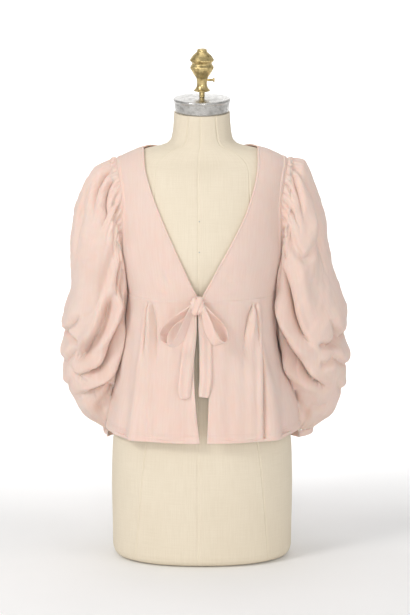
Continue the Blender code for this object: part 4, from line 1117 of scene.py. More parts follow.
# Folds of the peplum seen from the front: distance to the right of the centre and height
LEFT_SKIRT_FOLDS = (
    tuck(4.2, -7.5, 3, -96, 480, -101, 450, -103, 410, -104.5, 360, start=0.04, end=0.55),
    tuck(4.2, -7, -3, -90.5, 480, -85, 454, -82, 420, -80, 330, start=0.04, end=0.85),
    soft(6.2, 3.8, -93.2, 476, -93.5, 400, -93.5, 310, -93.5, 235, start=0.1, end=0.05),
    soft(11, 2.2, -64, 470, -60, 400, -62, 310, -66, 235, start=0.5, end=0.02),
    soft(8.5, -4.5, -129, 450, -132, 380, -137, 300, -142, 235, start=0.4, end=0.02),
    soft(8, -2.2, -24, 430, -26, 360, -28, 300, -30, 235, start=0.5, end=0.02),
    soft(5, -1.8, -45, 478, -50, 455, -52, 420, end=0.6),
)
RIGHT_SKIRT_FOLDS = (
    tuck(4.4, -8, 3.4, 91.2, 476, 84, 455, 78.5, 430, 75, 405, 73, 325, start=0.04, end=0.85),
    tuck(4, -7, -3, 94.5, 476, 98.5, 455, 100.5, 430, 101.5, 390, start=0.04, end=0.55),
    soft(9, 3.4, 88, 450, 87, 400, 88, 320, 90, 235, start=0.15, end=0.02),
    tuck(4, -8, -4.5, 107.5, 465, 110, 430, 111, 360, 111.5, 300, 111.5, 234, start=0.35, end=0.02),
    soft(10, -2.6, 52, 440, 50, 370, 48, 300, 48, 235, start=0.5, end=0.02),
    soft(8, -4.5, 135, 460, 140, 390, 147, 300, 150, 235, start=0.4, end=0.02),
    soft(5, -1.8, 40, 479, 47, 460, 52, 435, end=0.6),
)
BACK_SKIRT_FOLDS = (
    tuck(6, -6, 2.5, -125, 475, -129, 400, -135, 300, -140, 235, start=0.25, end=0.02),
    soft(7.5, -5.5, -70, 478, -74, 400, -80, 310, -85, 235, start=0.3, end=0.02),
    tuck(6.5, -5, 2.2, -30, 478, -28, 410, -25, 320, -24, 235, start=0.2, end=0.02),
    soft(9, -4.2, 15, 470, 18, 400, 23, 320, 26, 235, start=0.35, end=0.02),
    tuck(7, -5.8, -2.2, 64, 478, 69, 400, 76, 310, 80, 235, start=0.22, end=0.02),
    soft(7, -5.2, 118, 475, 124, 400, 133, 310, 140, 235, start=0.3, end=0.02),
)
# How far each sleeve's outer edge stands beyond its rings, by height
LEFT_OUTLINE = in_metres(
    (200, 2), (250, 3), (280, 1), (480, 0), (530, 3), (570, 4.5), (620, 4), (670, 2), (700, 0),
)
RIGHT_OUTLINE = in_metres(
    (200, 3), (250, 4), (280, 1), (460, 0), (480, 2), (520, 0),
)


@dataclass(frozen=True)
class Bodice:
    """The two fronts, the back, and the bound edge round the neck."""

    body: BodyShape = BODY_SHAPE
    steps: int = 84  # rows down the armhole
    columns: int = 60  # of a front, neck edge to armhole
    strap_columns: int = 12  # of the back, along each shoulder seam
    neck_columns: int = 96  # and along its neckline
    neck_spread: float = 0.85  # power that sets those closer together beside the seams
    neck_round: float = 2.6  # power of the back neckline's curve
    seam_band: float = 0.0062  # width of the raised seam beside the armhole
    seam_rise: float = 0.0018
    empire_band: float = 0.0045  # height of the band above the empire seam
    empire_rise: float = 0.0005
    calm_first: float = 0.006  # how far the folds stay away from the upper and inner edges
    calm_last: float = 0.012  # and from the lower and outer ones
    rumple: float = 0.0005
    rumple_size: float = 0.055
    rope_inset: float = 0.0019  # how far the binding's middle lies inside the neck's edge
    binding_half_width: float = 0.0021
    binding_half_thick: float = 0.0015

    def neck_edge(self, side: Side, row: Array | float) -> Array:
        """Turn of the V neck's edge at rows of the bodice."""
        table = np.array(NECK_EDGE)
        across = side.value * table[:, 1 if side is Side.LEFT else 2]
        deep = -self.body.front_of(across, self.body.bodice_level(table[:, 0]))
        turn, key = self.body.row_of(joined(across, deep, table[:, 0]))
        key[-1] = self.body.ridge
        return curve_through(joined(key, turn), row)[..., 0]

    def side_edge(self, side: Side, behind: bool) -> tuple[Array, Array, Array]:
        """Turn, row and corners down one edge of a panel: its armhole, then its side seam."""
        corners = self.body.armhole(side, full_turn(2 * self.steps))[0]
        order = np.arange(self.steps + 1) * (-1 if behind else 1)
        turn, row = self.body.row_of(corners[order])
        turn[0] = side.value * (np.pi - abs(turn[0])) if behind else turn[0]
        half_gap = SEAM / 2 / self.body.fan_width * (1 if behind else -1)
        turn[-1] = side.value * (np.pi / 2 + half_gap)
        row[0] = self.body.ridge - SEAM
        down = np.linspace(row[-1], EMPIRE_Z + SEAM / 2, 7)[1:]
        return np.append(turn, turn[-1] + 0 * down), np.append(row, down), corners[order[1:-1]]

    def front_grid(self, side: Side) -> tuple[Array, Array]:
        """Outer points of a front, from the V neck's edge to the armhole and the side seam.

        Args:
            side: Which front.

        Returns:
            The points, and metres across and along the cloth.
        """
        turn, row, corners = self.side_edge(side, behind=False)
        even = np.linspace(0, 1, len(row))
        fall = (row[0] - row) / (row[0] - row[-1])
        neck_row = row[0] - (row[0] - row[-1]) * (0.6 * even + 0.4 * fall)
        share = np.linspace(0, 1, self.columns + 1)
        turns = self.neck_edge(side, neck_row)[:, None] * (1 - share) + turn[:, None] * share
        rows = neck_row[:, None] * (1 - share) + row[:, None] * share
        points = self.body.bodice_point(turns, rows)
        points[1 : self.steps, -1] = corners
        return points, joined(turns * self.body.fan_width, rows)

    def back_grid(self) -> tuple[Array, Array]:
        """Outer points of the back, from the shoulders and the neckline down to the lower edge.

        Each point is its place between the four edges: the blend from top to bottom, and what the
        armhole beside it adds to that blend, less as it is further from it.
        """
        left_turn, left_row, left_corners = self.side_edge(Side.LEFT, behind=True)
        right_turn, _, right_corners = self.side_edge(Side.RIGHT, behind=True)
        left_turn = left_turn + 2 * np.pi
        swing = np.linspace(-1, 1, self.neck_columns + 1)
        left = -self.neck_edge(Side.LEFT, self.body.ridge)
        right = self.neck_edge(Side.RIGHT, self.body.ridge)
        neck_turn = np.pi - np.where(swing < 0, left, right) * signed_power(swing, self.neck_spread)
        neck_row = self.body.ridge - SEAM - BACK_NECK_DIP * (1 - np.abs(swing) ** self.neck_round)
        strap = np.linspace(0, 1, self.strap_columns + 1)[:-1]
        left_seam = left_turn[0] + (neck_turn[0] - left_turn[0]) * strap
        right_seam = right_turn[0] + (neck_turn[-1] - right_turn[0]) * strap
        top = np.concatenate([left_seam, neck_turn, right_seam[::-1]])
        dip = np.pad(neck_row - left_row[0], self.strap_columns)
        across = np.linspace(0, 1, len(top))
        foot = left_turn[-1] + (right_turn[-1] - left_turn[-1]) * across
        down = ((left_row[0] - left_row) / (left_row[0] - left_row[-1]))[:, None]
        left = left_turn[:, None] - (left_turn[0] * (1 - down) + left_turn[-1] * down)
        right = right_turn[:, None] - (right_turn[0] * (1 - down) + right_turn[-1] * down)
        turn = top * (1 - down) + foot * down + left * (1 - across) + right * across
        row = left_row[:, None] + dip * (1 - down)
        points = self.body.bodice_point(turn, row)
        points[1 : self.steps, 0], points[1 : self.steps, -1] = left_corners, right_corners
        return points, joined(turn * self.body.fan_width, row)

    def raised(self, grid: Array, folds: tuple[Fold, ...], ends: tuple[int, ...]) -> Array:
        """How far the cloth stands off its plain shape: folds, the armhole seam, the empire seam.

        Args:
            grid: The plain points.
            folds: Folds, seen from the front, with their own side's sign across.
            ends: Columns that run along an armhole.

        Returns:
            One height for each point.
        """
        inside = ease_in(lengths_along(grid, 0), 0, self.calm_first)
        inside = inside * ease_in(lengths_along(grid[::-1], 0)[::-1], 0, self.calm_last)
        across = lengths_along(grid, 1)
        inside = inside * ease_in(across, 0, self.calm_first)
        inside = inside * ease_in(across[:, -1:] - across, 0, self.calm_last)
        move = inside * fold_sum(folds, grid[..., [0, 2]])
        move = move + inside * self.rumple * uneven(grid, self.rumple_size, 3)
        to_foot = grid[..., 2] - EMPIRE_Z
        band = 1 - ease_in(to_foot, self.empire_band, self.empire_band + 0.0012)
        move = move + self.empire_rise * band
        for end in ends:
            away = across if end == 0 else across[:, -1:] - across
            band = 1 - ease_in(away, self.seam_band - 0.0010, self.seam_band + 0.0004)
            move = move + self.seam_rise * band * (grid[..., 2] > ARMHOLE_FOOT + 0.004)
        return move

    def binding(self, path: Array) -> tuple[Array, Array]:
        """The bound edge: an oval rope of cloth carried along the neck's edge.

        A section is w * cos(a)^0.8 across and t * sin(a)^0.8 through.

        Args:
            path: The neck's edge, from the left front over the back to the right front.

        Returns:
            Rings along the path, and metres along and round it.
        """
        outward = self.body.bodice_normal(path)
        along = unit(np.gradient(path, axis=0))
        aside = unit(np.cross(along, outward))
        centres = path - outward * CLOTH / 2 + aside * (SEAM + self.rope_inset)
        angle = np.linspace(0, 2 * np.pi, 17)
        wide = self.binding_half_width * signed_power(np.cos(angle), 0.8)
        thick = self.binding_half_thick * signed_power(np.sin(angle), 0.8)
        rings = centres[:, None] + aside[:, None] * wide[:, None] + outward[:, None] * thick[:, None]
        walked = lengths_along(path[:, None], 0)
        cloth_map = joined(walked, angle * 0.0022)
        return rings[:, :-1], cloth_map

    def panel(self, word: str, grid: tuple[Array, Array], folds: tuple[Fold, ...],
              ends: tuple[int, ...], knit: Material) -> Piece:
        """One panel of the bodice, dressed.

        Args:
            word: Which panel: front_left, front_right or back.
            grid: Its plain outer points, and metres across and along the cloth.
            folds: Its folds.
            ends: Columns that run along an armhole.
            knit: The cloth's material.

        Returns:
            The piece.
        """
        plain, cloth_map = grid
        outward = self.body.bodice_normal(plain)
        outer = plain + outward * self.raised(plain, folds, ends)[..., None]
        piece = Shell(f"knit_{word}", outer, plain - CLOTH * outward, cloth_map).make()
        hand_over(piece, knit, "knit", f"bodice_{word}")
        return piece

    def build(self, knit: Material) -> list[Piece]:
        """Makes and dresses the bodice.

        Args:
            knit: The cloth's material.

        Returns:
            The pieces.
        """
        made, edges = [], []
        for side, folds in ((Side.LEFT, LEFT_BODICE_FOLDS), (Side.RIGHT, RIGHT_BODICE_FOLDS)):
            grid = self.front_grid(side)
            piece = self.panel(f"front_{side.word}", grid, folds, (-1,), knit)
            made.append(piece)
            edges.append(grid[0][:, 0])
        grid = self.back_grid()
        back = self.panel("back", grid, BACK_BODICE_FOLDS, (0, -1), knit)
        neck = grid[0][0, self.strap_columns : -self.strap_columns]
        rope = capped("knit_binding", *self.binding(np.concatenate([edges[0][::-1], neck[1:-1], edges[1]])))
        hand_over(rope, knit, "knit", "neck_binding")
        return [*made, back, rope]


@dataclass(frozen=True)
class Peplum:
    """The flared skirt of the cardigan: two fronts that don't meet, and the back."""

    body: BodyShape = BODY_SHAPE
    pleat_columns: int = 84
    edge_columns: int = 18
    side_columns: int = 44
    back_columns: int = 210
    pleat_reach: tuple[int, int] = (-13, 16)  # degrees from the pleat with closer columns
    seam_depth: float = 0.006  # height of the closer rows below the empire seam
    close_depth: float = 0.018  # and of those above the hem
    hem_depth: float = 0.0135
    hem_rise: float = 0.0008
    hem_pull: float = 0.0006  # how deep its stitches pull the cloth in
    band_depth: float = 0.0040
    band_rise: float = 0.0005
    rumple: float = 0.0011
    rumple_size: float = 0.060

    def heights(self) -> Array:
        """Heights of the rows, closest together at the seam and over the hem."""
        top = EMPIRE_Z - SEAM / 2
        high, low = top - self.seam_depth, HEM_Z + self.close_depth
        return np.concatenate([np.linspace(top, high, 6)[:-1],
                               np.linspace(high, low, 66)[:-1],
                               np.linspace(low, HEM_Z, 20)])

    def plain(self, turn: Array, height: Array) -> Array:
        """Points of the outer face: its level section, moved out and sideways by the large folds."""
        turn, height = np.broadcast_arrays(np.asarray(turn, float), np.asarray(height, float))
        level = self.body.skirt_level(height, np.sin(turn))
        points = self.body.on_level(turn, height, level)
        depth = np.where(points[..., 1] < 0, level[..., 1], level[..., 2])
        out = unit(joined(signed_power(points[..., 0] / level[..., 0], ROUNDNESS - 1) / level[..., 0],
                          signed_power(points[..., 1] / depth, ROUNDNESS - 1) / depth,
                          0 * height))
        aside = joined(-out[..., 1], out[..., 0], 0 * height)
        rise, lean = self.body.skirt_fold(turn, height)
        return points + out * rise[..., None] + aside * lean[..., None]

    def front_turns(self, side: Side, height: Array) -> Array:
        """Turns of a front's columns at each height, closest together at its pleat."""
        edge = curve_through(FRONT_EDGE, height)[:, 0 if side is Side.LEFT else 1]
        edge = (edge / self.body.skirt_level(height, side.value + 0 * height)[:, 0]) ** (ROUNDNESS / 2)
        pleat = np.radians(abs(PEPLUM_FOLDS[0 if side is Side.LEFT else 1][0]))
        near = pleat + np.radians(np.linspace(*self.pleat_reach, self.pleat_columns))
        seam = np.pi / 2 - SEAM / 2 / self.body.fan_width
        share = np.linspace(0, 1, self.edge_columns + 1)[:-1]
        before = edge[:, None] * (1 - share) + near[0] * share
        after = np.linspace(near[-1], seam, self.side_columns + 1)[1:]
        rows = (len(height), 1)
        return side.value * np.hstack([before, np.tile(near, rows), np.tile(after, rows)])

    def raised(self, grid: Array, folds: tuple[Fold, ...]) -> Array:
        """How far the cloth stands off its plain shape: folds, the seam at the top and the hem."""
        to_foot = grid[..., 2] - HEM_Z
        to_seam = EMPIRE_Z - grid[..., 2]
        free = ease_in(to_seam, 0, 0.010)
        move = free * fold_sum(folds, grid[..., [0, 2]])
        move = move + free * self.rumple * uneven(grid, self.rumple_size, 11) * ease_in(to_seam, 0, 0.12)
        move = move + self.band_rise * (1 - ease_in(to_seam, self.band_depth, self.band_depth + 0.0014))
        hem = self.hem_rise * (1 - ease_in(to_foot, self.hem_depth, self.hem_depth + 0.0014))
        pull = np.exp(-(((to_foot - self.hem_depth + 0.0008) / 0.0011) ** 2))
        return move + hem - self.hem_pull * pull + 0.0002 * pull * np.sin(grid[..., 0] * 1900)

    def build(self, knit: Material, thread: Material) -> list[Piece]:
        """Makes and dresses the peplum.

        Args:
            knit: The cloth's material.
            thread: The stitches' material.

        Returns:
            The pieces.
        """
        height = self.heights()
        seam = np.pi / 2 + SEAM / 2 / self.body.fan_width
        behind = np.linspace(2 * np.pi - seam, seam, self.back_columns + 1)
        left, right = (self.front_turns(side, height) for side in Side)
        panels = (
            ("front_left", left, LEFT_SKIRT_FOLDS, (0.230, 0.262), 0.0445),
            ("front_right", right, RIGHT_SKIRT_FOLDS, (0.230, 0.262), 0.0445),
            ("back", np.tile(behind, (len(height), 1)), BACK_SKIRT_FOLDS, (0.520, 0.262), 0.1100),
        )
        made = []
        for word, turn, folds, flat, area in panels:
            plain = self.plain(turn, height[:, None])
            face = grid_normals(plain, closed=False)
            face = face * np.sign((face[..., :2] * plain[..., :2]).sum())
            outer = plain + face * self.raised(plain, folds)[..., None]
            inner = outer - CLOTH * face
            cloth_map = joined(turn * self.body.fan_width, height[:, None])
            piece = Shell(f"knit_skirt_{word}", outer, inner, cloth_map).make()
            hand_over(piece, knit, "knit", f"peplum_{word}")
            stitched = len(height) - 1 - np.abs(height[::-1] - HEM_Z - self.hem_depth).argmin()
            row = StitchRow().make(f"hem_stitches_{word}", outer[stitched], face[stitched])
            hand_over(row, thread, "knit")
            made += [piece, row]
        return made


@dataclass(frozen=True)
class Sleeve:
    """A full sleeve, gathered at the armhole and into a narrow band behind the hip.

    Each ring is an oval between its outer edge (a = 0) and its inner edge (a = pi): across and up
    follow cos(a) and the depth follows sin(a)^0.95. Gathers are tucks that run down the columns.
    """

    side: Side
    rings: Table
    front_folds: tuple[Fold, ...]
    back_folds: tuple[Fold, ...]
    outline: Table  # by height: how far the outer edge stands beyond the rings
    seed: int
    body: BodyShape = BODY_SHAPE
    columns: int = 284
    rows: int = 148
    head_rows: int = 12
    head_gathers: int = 44
    cuff_gathers: int = 26
    front_share: float = 0.62  # share of the columns on the front half
    inner_full: float = 0.62  # power of cos(a) on the inner front, which lies fuller by the body
    rumples: tuple[tuple[float, float], ...] = ((0.0016, 0.050), (0.0005, 0.018))  # height and size
    gather_rise: float = 0.0085
    gather_lean: float = 0.055  # share of the ring that the head's gathers sink over their length
    fold_depth: float = 1.80
    low_clear: float = 0.4  # clearances more from the peplum at the cuff
    press: float = 0.010  # most that the inner front is pressed against the body
    side_depth: float = 1.3
    side_shift: float = 0.004  # how much lower one side's folds lie, and higher the other's
    back_share: float = 0.9
    cuff_depth: float = 0.0105
    cuff_drop: float = 0.0010
    cuff_taper: float = 0.98
    cuff_full: float = 0.0007  # how far the band's middle swells out

    def turns(self) -> Array:
        """Each column's place round the sleeve, 0 to 1, closer together on the front half."""
        even = np.arange(self.columns) / self.columns
        return np.interp(even, (0, self.front_share, 1), (0, 0.5, 1))

    def plain(self) -> tuple[Array, Array, Array]:
        """The sleeve before folds: its points, its inner root, and each row's share of the length."""
        sign = self.side.value
        angle = self.turns() * 2 * np.pi
        corners, outward, inward = self.body.armhole(self.side, angle)
        root = corners - outward * CLOTH / 2 + inward * ARMHOLE_SEAM
        spread = unit(outward * (1, 1, 0.25) + (sign * COLLAR_SPREAD, 0, 0))
        collar = corners + spread * COLLAR + inward * COLLAR_TURN
        collar[:, 2] += COLLAR_LIFT * np.clip(np.cos(angle), 0, 1) ** 8
        along = np.linspace(FIRST_RING, 1, self.rows)
        out_x, out_z, in_x, in_z, half, middle = curve_through(self.rings, along).T[..., None]
        full = np.where((np.sin(angle) > 0) & (np.cos(angle) < 0), self.inner_full, 1.0)
        rings = joined(
            sign * ((out_x + in_x) / 2 + (out_x - in_x) / 2 * signed_power(np.cos(angle), full)),
            middle - half * signed_power(np.sin(angle).round(9), 0.95),
            (out_z + in_z) / 2 + (out_z - in_z) / 2 * np.cos(angle))
        share = np.linspace(0, 1, self.head_rows + 1)[1:-1, None, None]
        turning = root * (1 - share[::3]) + collar * share[::3]
        head = collar * (1 - share) + rings[0] * share + spread * 0.0025 * np.sin(np.pi * share)
        grid = np.concatenate([root[None], turning, collar[None], head, rings])
        lead = np.linspace(0, FIRST_RING, len(grid) - self.rows + 1)[:-1]
        return grid, root + CLOTH * inward, np.concatenate([lead, along])

    def gathers(self, count: int, from_seam: Array, reach: Row, sink: float, seed: int) -> Array:
        """Tucks that run from a gathered edge: -rise * exp(-|c| / w) across, dying out along.

        Args:
            count: How many there are round the edge.
            from_seam: Distance of each point from the edge.
            reach: Shortest and longest of them.
            sink: How far they slant downwards, as a share of the ring.
            seed: Picks their places, depths and lengths.

        Returns:
            One height for each point.
        """
        chance = np.random.default_rng(seed)
        place = (np.arange(count) + chance.uniform(-0.3, 0.3, count)) / count
        deep = self.gather_rise * chance.uniform(0.40, 1.0, count)
        length = chance.uniform(*reach, count)
        width = chance.uniform(0.20, 0.32, count) / count
        lean = sink * np.sin(2 * np.pi * place) + chance.uniform(-0.25, 0.25, count) / count
        share = self.turns()
        total = np.zeros(from_seam.shape)
        for k in range(count):
            gone = from_seam / length[k]
            away = (share - place[k] - lean[k] * gone + 0.5) % 1.0 - 0.5
            wide = width[k] * (1 + 0.8 * gone)
            dip = np.exp(-np.abs(away) / wide) - 0.40 * np.exp(-((away / (2.6 * wide)) ** 2))
            total -= deep[k] * dip * np.exp(-gone**2)
        return total

    def relief(self, grid: Array, normal: Array, share: Array, walked: Array) -> Array:
        """How far the cloth stands off its plain shape: folds, unevenness and gathers.

        Args:
            grid: The plain points.
            normal: Their outward directions.
            share: Each row's share of the sleeve's length.
            walked: Distance of each point from the armhole.

        Returns:
            One height for each point.
        """
        sign = self.side.value
        behind = SIGHT_DEPTH + grid[..., 1] * np.sign(normal[..., 1])
        seen = joined(np.abs(grid[..., 0]) * (1 + behind / SIGHT_LENGTH),
                      grid[..., 2] - SIGHT_DROP * behind + FOLD_SHIFT)
        front, back = np.clip(-1.7 * normal[..., 1], 0, 1), np.clip(1.7 * normal[..., 1], 0, 1)
        move = front * fold_sum(self.front_folds, seen) * self.fold_depth
        move = move + self.back_share * back * fold_sum(self.back_folds, seen) * self.fold_depth
        beyond = ease_in(sign * normal[..., 0], 0.45, 0.85)
        beside = fold_sum(SIDE_SLEEVE_FOLDS, grid[..., 1:] + (0, self.side_shift * sign))
        move = move + beyond * beside * self.side_depth
        for offset, (height, size) in enumerate(self.rumples):
            move = move + height * uneven(grid, size, self.seed + offset)
        move = move * ease_in(walked, 0.004, 0.030) * (1 - 0.6 * ease_in(share, 0.93, 1.0)[:, None])
        left = walked[-1:] - walked
        gathered = self.gathers(self.head_gathers, walked, (0.018, 0.060), self.gather_lean, self.seed + 2)
        gathered = gathered + self.gathers(self.cuff_gathers, left, (0.018, 0.048), 0.0, self.seed + 3)
        return move + gathered * ease_in(walked, 0.0025, 0.0060)

    def beside_body(self, grid: Array, share: Array) -> Array:
        """The free rows kept outside the body, with the inner front pressed towards it.

        Args:
            grid: The sleeve's points.
            share: Each row's share of the sleeve's length.

        Returns:
            The points, moved across only.
        """
        free = slice(self.head_rows + 4, None)
        clear = CLEAR * (0.35 + self.low_clear * ease_in(share[free, None], 0.80, 1))
        beside = self.body.beside(self.side, grid[free, :, 1], grid[free, :, 2]) + clear
        gap = np.maximum(np.abs(grid[free, :, 0]) - beside, 0)
        inner_share = np.clip(-1.5 * np.cos(self.turns() * 2 * np.pi), 0, 1)
        gap = gap - self.press * gap / (gap + self.press) * inner_share
        moved = grid.copy()
        moved[free, :, 0] = self.side.value * (beside + gap)
        return moved

    def surface(self) -> tuple[Array, Array, Array]:
        """Outer and inner points of the sleeve, and metres across and along its cloth."""
        sign = self.side.value
        grid, inner_root, share = self.plain()
        normal = sign * grid_normals(grid, closed=True)
        outside = ease_in(sign * normal[..., 0], 0.35, 0.95) * ease_in(share[:, None], 0.1, 0.25)
        grid = grid + normal * (outside * curve_through(self.outline, grid[..., 2])[..., 0])[..., None]
        walked = lengths_along(grid, 0)
        grid = grid + normal * self.relief(grid, normal, share, walked)[..., None]
        grid = self.beside_body(grid, share)
        normal = sign * grid_normals(grid, closed=True)
        inner = grid - CLOTH * normal
        inner[0] = inner_root
        around = 0.56 * np.append(self.turns(), 1)
        along = np.hstack([walked, walked[:, :1]])
        return grid, inner, joined(around, -along)

    def cuff(self, ring: Array) -> tuple[Array, Array, Array]:
        """The turned band that the last ring is gathered into, a little narrower at its foot."""
        sign = self.side.value
        top = ring - (0, 0, self.cuff_drop)
        middle = top.mean(axis=0)
        share = np.linspace(0, 1, 15)[:, None, None]
        foot = middle + (top - middle) * self.cuff_taper - (0, 0, self.cuff_depth)
        outer = top * (1 - share) + foot * share
        beside = self.body.beside(self.side, outer[..., 1], outer[..., 2]) + 2 * CLEAR
        outer[..., 0] = sign * np.maximum(np.abs(outer[..., 0]), beside)
        normal = sign * grid_normals(outer, closed=True)
        normal[..., 2] = 0
        normal = unit(normal)
        full = self.cuff_full * np.sin(np.pi * share[..., 0]) ** 0.5
        outer = outer + normal * full[..., None]
        around = np.linspace(0, 0.30, ring.shape[0] + 1)
        cloth_map = joined(around, share[..., 0] * -self.cuff_depth)
        return outer, outer - CLOTH * normal, cloth_map

    def build(self, knit: Material, thread: Material) -> list[Piece]:
        """Makes and dresses the sleeve with its cuff.

        Args:
            knit: The cloth's material.
            thread: The stitches' material.

        Returns:
            The pieces.
        """
        word = self.side.word
        plain, _, _ = self.plain()
        outer, inner, cloth_map = self.surface()
        sleeve = Shell(f"knit_sleeve_{word}", outer, inner, cloth_map, closed=True).make()
        hand_over(sleeve, knit, "knit", f"sleeve_{word}")
        band_outer, band_inner, band_map = self.cuff(plain[-1, ::2])
        cuff = Shell(f"knit_cuff_{word}", band_outer, band_inner, band_map, closed=True).make()
        hand_over(cuff, knit, "knit", f"cuff_{word}")
        line = np.vstack([band_outer[4], band_outer[4, :1]])
        out = unit(line - line.mean(axis=0)) * (1, 1, 0)
        row = StitchRow().make(f"cuff_stitches_{word}", line, out)
        hand_over(row, thread, "knit")
        return [sleeve, cuff, row]


# Each loop: length, widest opening, degrees from straight down, degrees about its line, flat length
LOOPS = (
    (Side.LEFT, (0.0800, 0.0370, 36.0, 44.0), 0.160),
    (Side.RIGHT, (0.0720, 0.0300, 29.0, 34.0), 0.145),
)
# The hanging ends by height from the top: distance of the middle from the centre, half width
LEFT_TAIL = in_metres(
    (470, -15.5, 6.2), (430, -19, 9.5), (390, -24, 11), (350, -29, 11.2), (323, -31, 10.8),
    (313, -30, 8.5),
)
RIGHT_TAIL = in_metres(
    (470, -0.8, 6.2), (430, 4, 9.5), (390, 6.5, 10.5), (350, 6.5, 10.5), (323, 4, 9.6), (315, 3, 8),
)
# Soft ridges along them: place across (-1 to 1), width, height, share of the way where each starts
LEFT_TAIL_RIDGES = ((0.45, 0.35, 0.0016, 0.10), (-0.70, 0.25, 0.0012, 0.45))
RIGHT_TAIL_RIDGES = ((-0.35, 0.40, 0.0018, 0.05), (0.75, 0.22, 0.0010, 0.40))
# Each end: its side, its two tables and its flat length
TAILS = (
    (Side.LEFT, LEFT_TAIL, LEFT_TAIL_RIDGES, 0.165),
    (Side.RIGHT, RIGHT_TAIL, RIGHT_TAIL_RIDGES, 0.162),
)


@dataclass(frozen=True)
class Tie:
    """The bow of the cardigan's own cloth: a knot, two loops and two hanging ends."""

    body: BodyShape = BODY_SHAPE
    width: float = 0.0205
    thick: float = 0.0018
    knot_centre: Row = (-0.0080, -0.1302, 0.4765)
    knot_half: Row = (0.0132, 0.0080, 0.0168)
    loop_root: float = -0.0045  # how far outside the knot's side a loop starts
    loop_clear: float = 0.0034  # least room between a loop and the cloth behind it
    pinch: float = 0.44  # share of the strip's width at the knot
    tail_clear: float = 0.0005
    crown: float = 0.0006  # how much higher a strip's middle lies than its edges
    edge_thin: float = 0.45  # share of the thickness that is gone at the edges
    tuft: float = 0.0016  # height of the small pleats where an end leaves the knot

    def strip(self, name: str, centres: Array, wide: Array, half: Array, lift: Array) -> Piece:
        """A strip of folded cloth along a path, a little crowned across.

        A point is the path, plus s times the half width across, plus the crown (1 - s^2) and lift
        through, where s runs from -1 to 1.

        Args:
            name: The piece's name.
            centres: The path.
            wide: Directions across the strip.
            half: Half widths along the path, as a column.
            lift: How far each point stands off the plain strip, by path point and place across.

        Returns:
            The object.
        """
        along = unit(np.gradient(centres, axis=0))
        wide = unit(wide - (wide * along).sum(-1, keepdims=True) * along)
        through = unit(np.cross(along, wide))
        share = np.linspace(-1, 1, lift.shape[1])
        lift = lift + self.crown * (1 - share**2)
        middle = centres[:, None] + wide[:, None] * (share * half)[..., None]
        middle = middle + through[:, None] * lift[..., None]
        square = grid_normals(middle, closed=False)
        square = square * np.sign((square * through[:, None]).sum())
        walked = lengths_along(centres[:, None], 0)
        cloth_map = joined(share * half, walked)
        edge = 1 - self.edge_thin * np.abs(share[:, None]) ** 8
        wall = square * self.thick / 2 * edge
        return Shell(name, middle + wall, middle - wall, cloth_map).make()

    def loop(self, side: Side, length: float, opening: float, slant: float, twist: float) -> Piece:
        """One loop: a strip that leaves the knot, turns round and comes back.

        It runs slantwise down and aside, and its strip is turned about that line so that its hollow
        is seen from the front. Its length follows (1 - cos t) / 2 and each half of its opening
        0.77 sin t sin^2(t / 2), which is 1/2 at the most.

        Args:
            side: Which side of the knot.
            length: From the knot to the tip.
            opening: Widest opening.
            slant: Degrees of its line from straight down.
            twist: Degrees of the strip about that line.

        Returns:
            The object.
        """
        sign, slant, twist = side.value, np.radians(slant), np.radians(twist)
        ahead = np.array([sign * np.sin(slant), 0, -np.cos(slant)])
        level = np.array([-sign * np.cos(slant), 0, -np.sin(slant)])
        depth = np.array([0, 1.0, 0])
        wide = np.cos(twist) * level + np.sin(twist) * depth
        apart = np.cos(twist) * depth - np.sin(twist) * level
        turn = np.linspace(0.16, 2 * np.pi - 0.16, 130)[:, None]
        out = length * (1 - np.cos(turn)) / 2
        gap = opening * 0.77 * np.sin(turn) * np.sin(turn / 2) ** 2 + self.thick * np.cos(turn / 2)
        root = np.array(self.knot_centre) + (sign * (self.knot_half[0] + self.loop_root), 0, 0)
        centres = root + out * ahead + gap * apart
        half = self.width / 2 * (self.pinch + (1 - self.pinch) * ease_in(out, 0, length / 2))
        edges = np.stack([centres + wide * half, centres - wide * half])
        lap = edges[..., 1] + self.body.front_face(edges[..., 0], edges[..., 2]) + self.loop_clear
        centres[:, 1] -= np.maximum(0, lap.max()) * ease_in(out, 0, length / 3)[:, 0]
        share = np.linspace(-1, 1, 25)
        pleats = 0.0011 * np.cos(4.2 * np.pi * (share + 0.13 * sign)) * (1 - ease_in(out, 0, 0.5 * length))
        sway = 0.0007 * np.sin(5 * turn + 2.2 * share) * ease_in(out, 0.2 * length, 0.7 * length)
        return self.strip(f"knit_loop_{side.word}", centres, wide + 0 * centres, half, pleats + sway)

    def tail(self, side: Side, table: Table, lift: Table) -> Piece:
        """One hanging end, lying on the front.

        Args:
            side: Which end.
            table: By height from the top: distance of its middle from the centre, half width.
            lift: Soft ridges along it: place across (-1 to 1), width, height, share where each starts.

        Returns:
            The object.
        """
        table = np.array(table[::-1])
        height = np.linspace(table[-1, 0], table[0, 0], 110)
        across, half = curve_through(table, height).T
        face = self.body.front_face(np.abs(across) - half, height)
        deep = -face - SEAM - self.tail_clear - self.thick / 2
        centres = joined(across, deep, height)
        share = np.linspace(-1, 1, 25)
        down = np.linspace(0, 1, len(height))[:, None]
        stand = 0 * down * share
        for place, width, rise, start in lift:
            ridge = rise * np.exp(-(((share - place) / width) ** 2))
            stand = stand + ridge * ease_in(down, start, start + 0.25)
        stand = stand + self.tuft * (1 - ease_in(down, 0.02, 0.20)) * np.cos(8 * share) ** 2
        wide = np.array([1.0, 0, 0]) + 0 * centres
        return self.strip(f"knit_tail_{side.word}", centres, wide, half[:, None], stand)

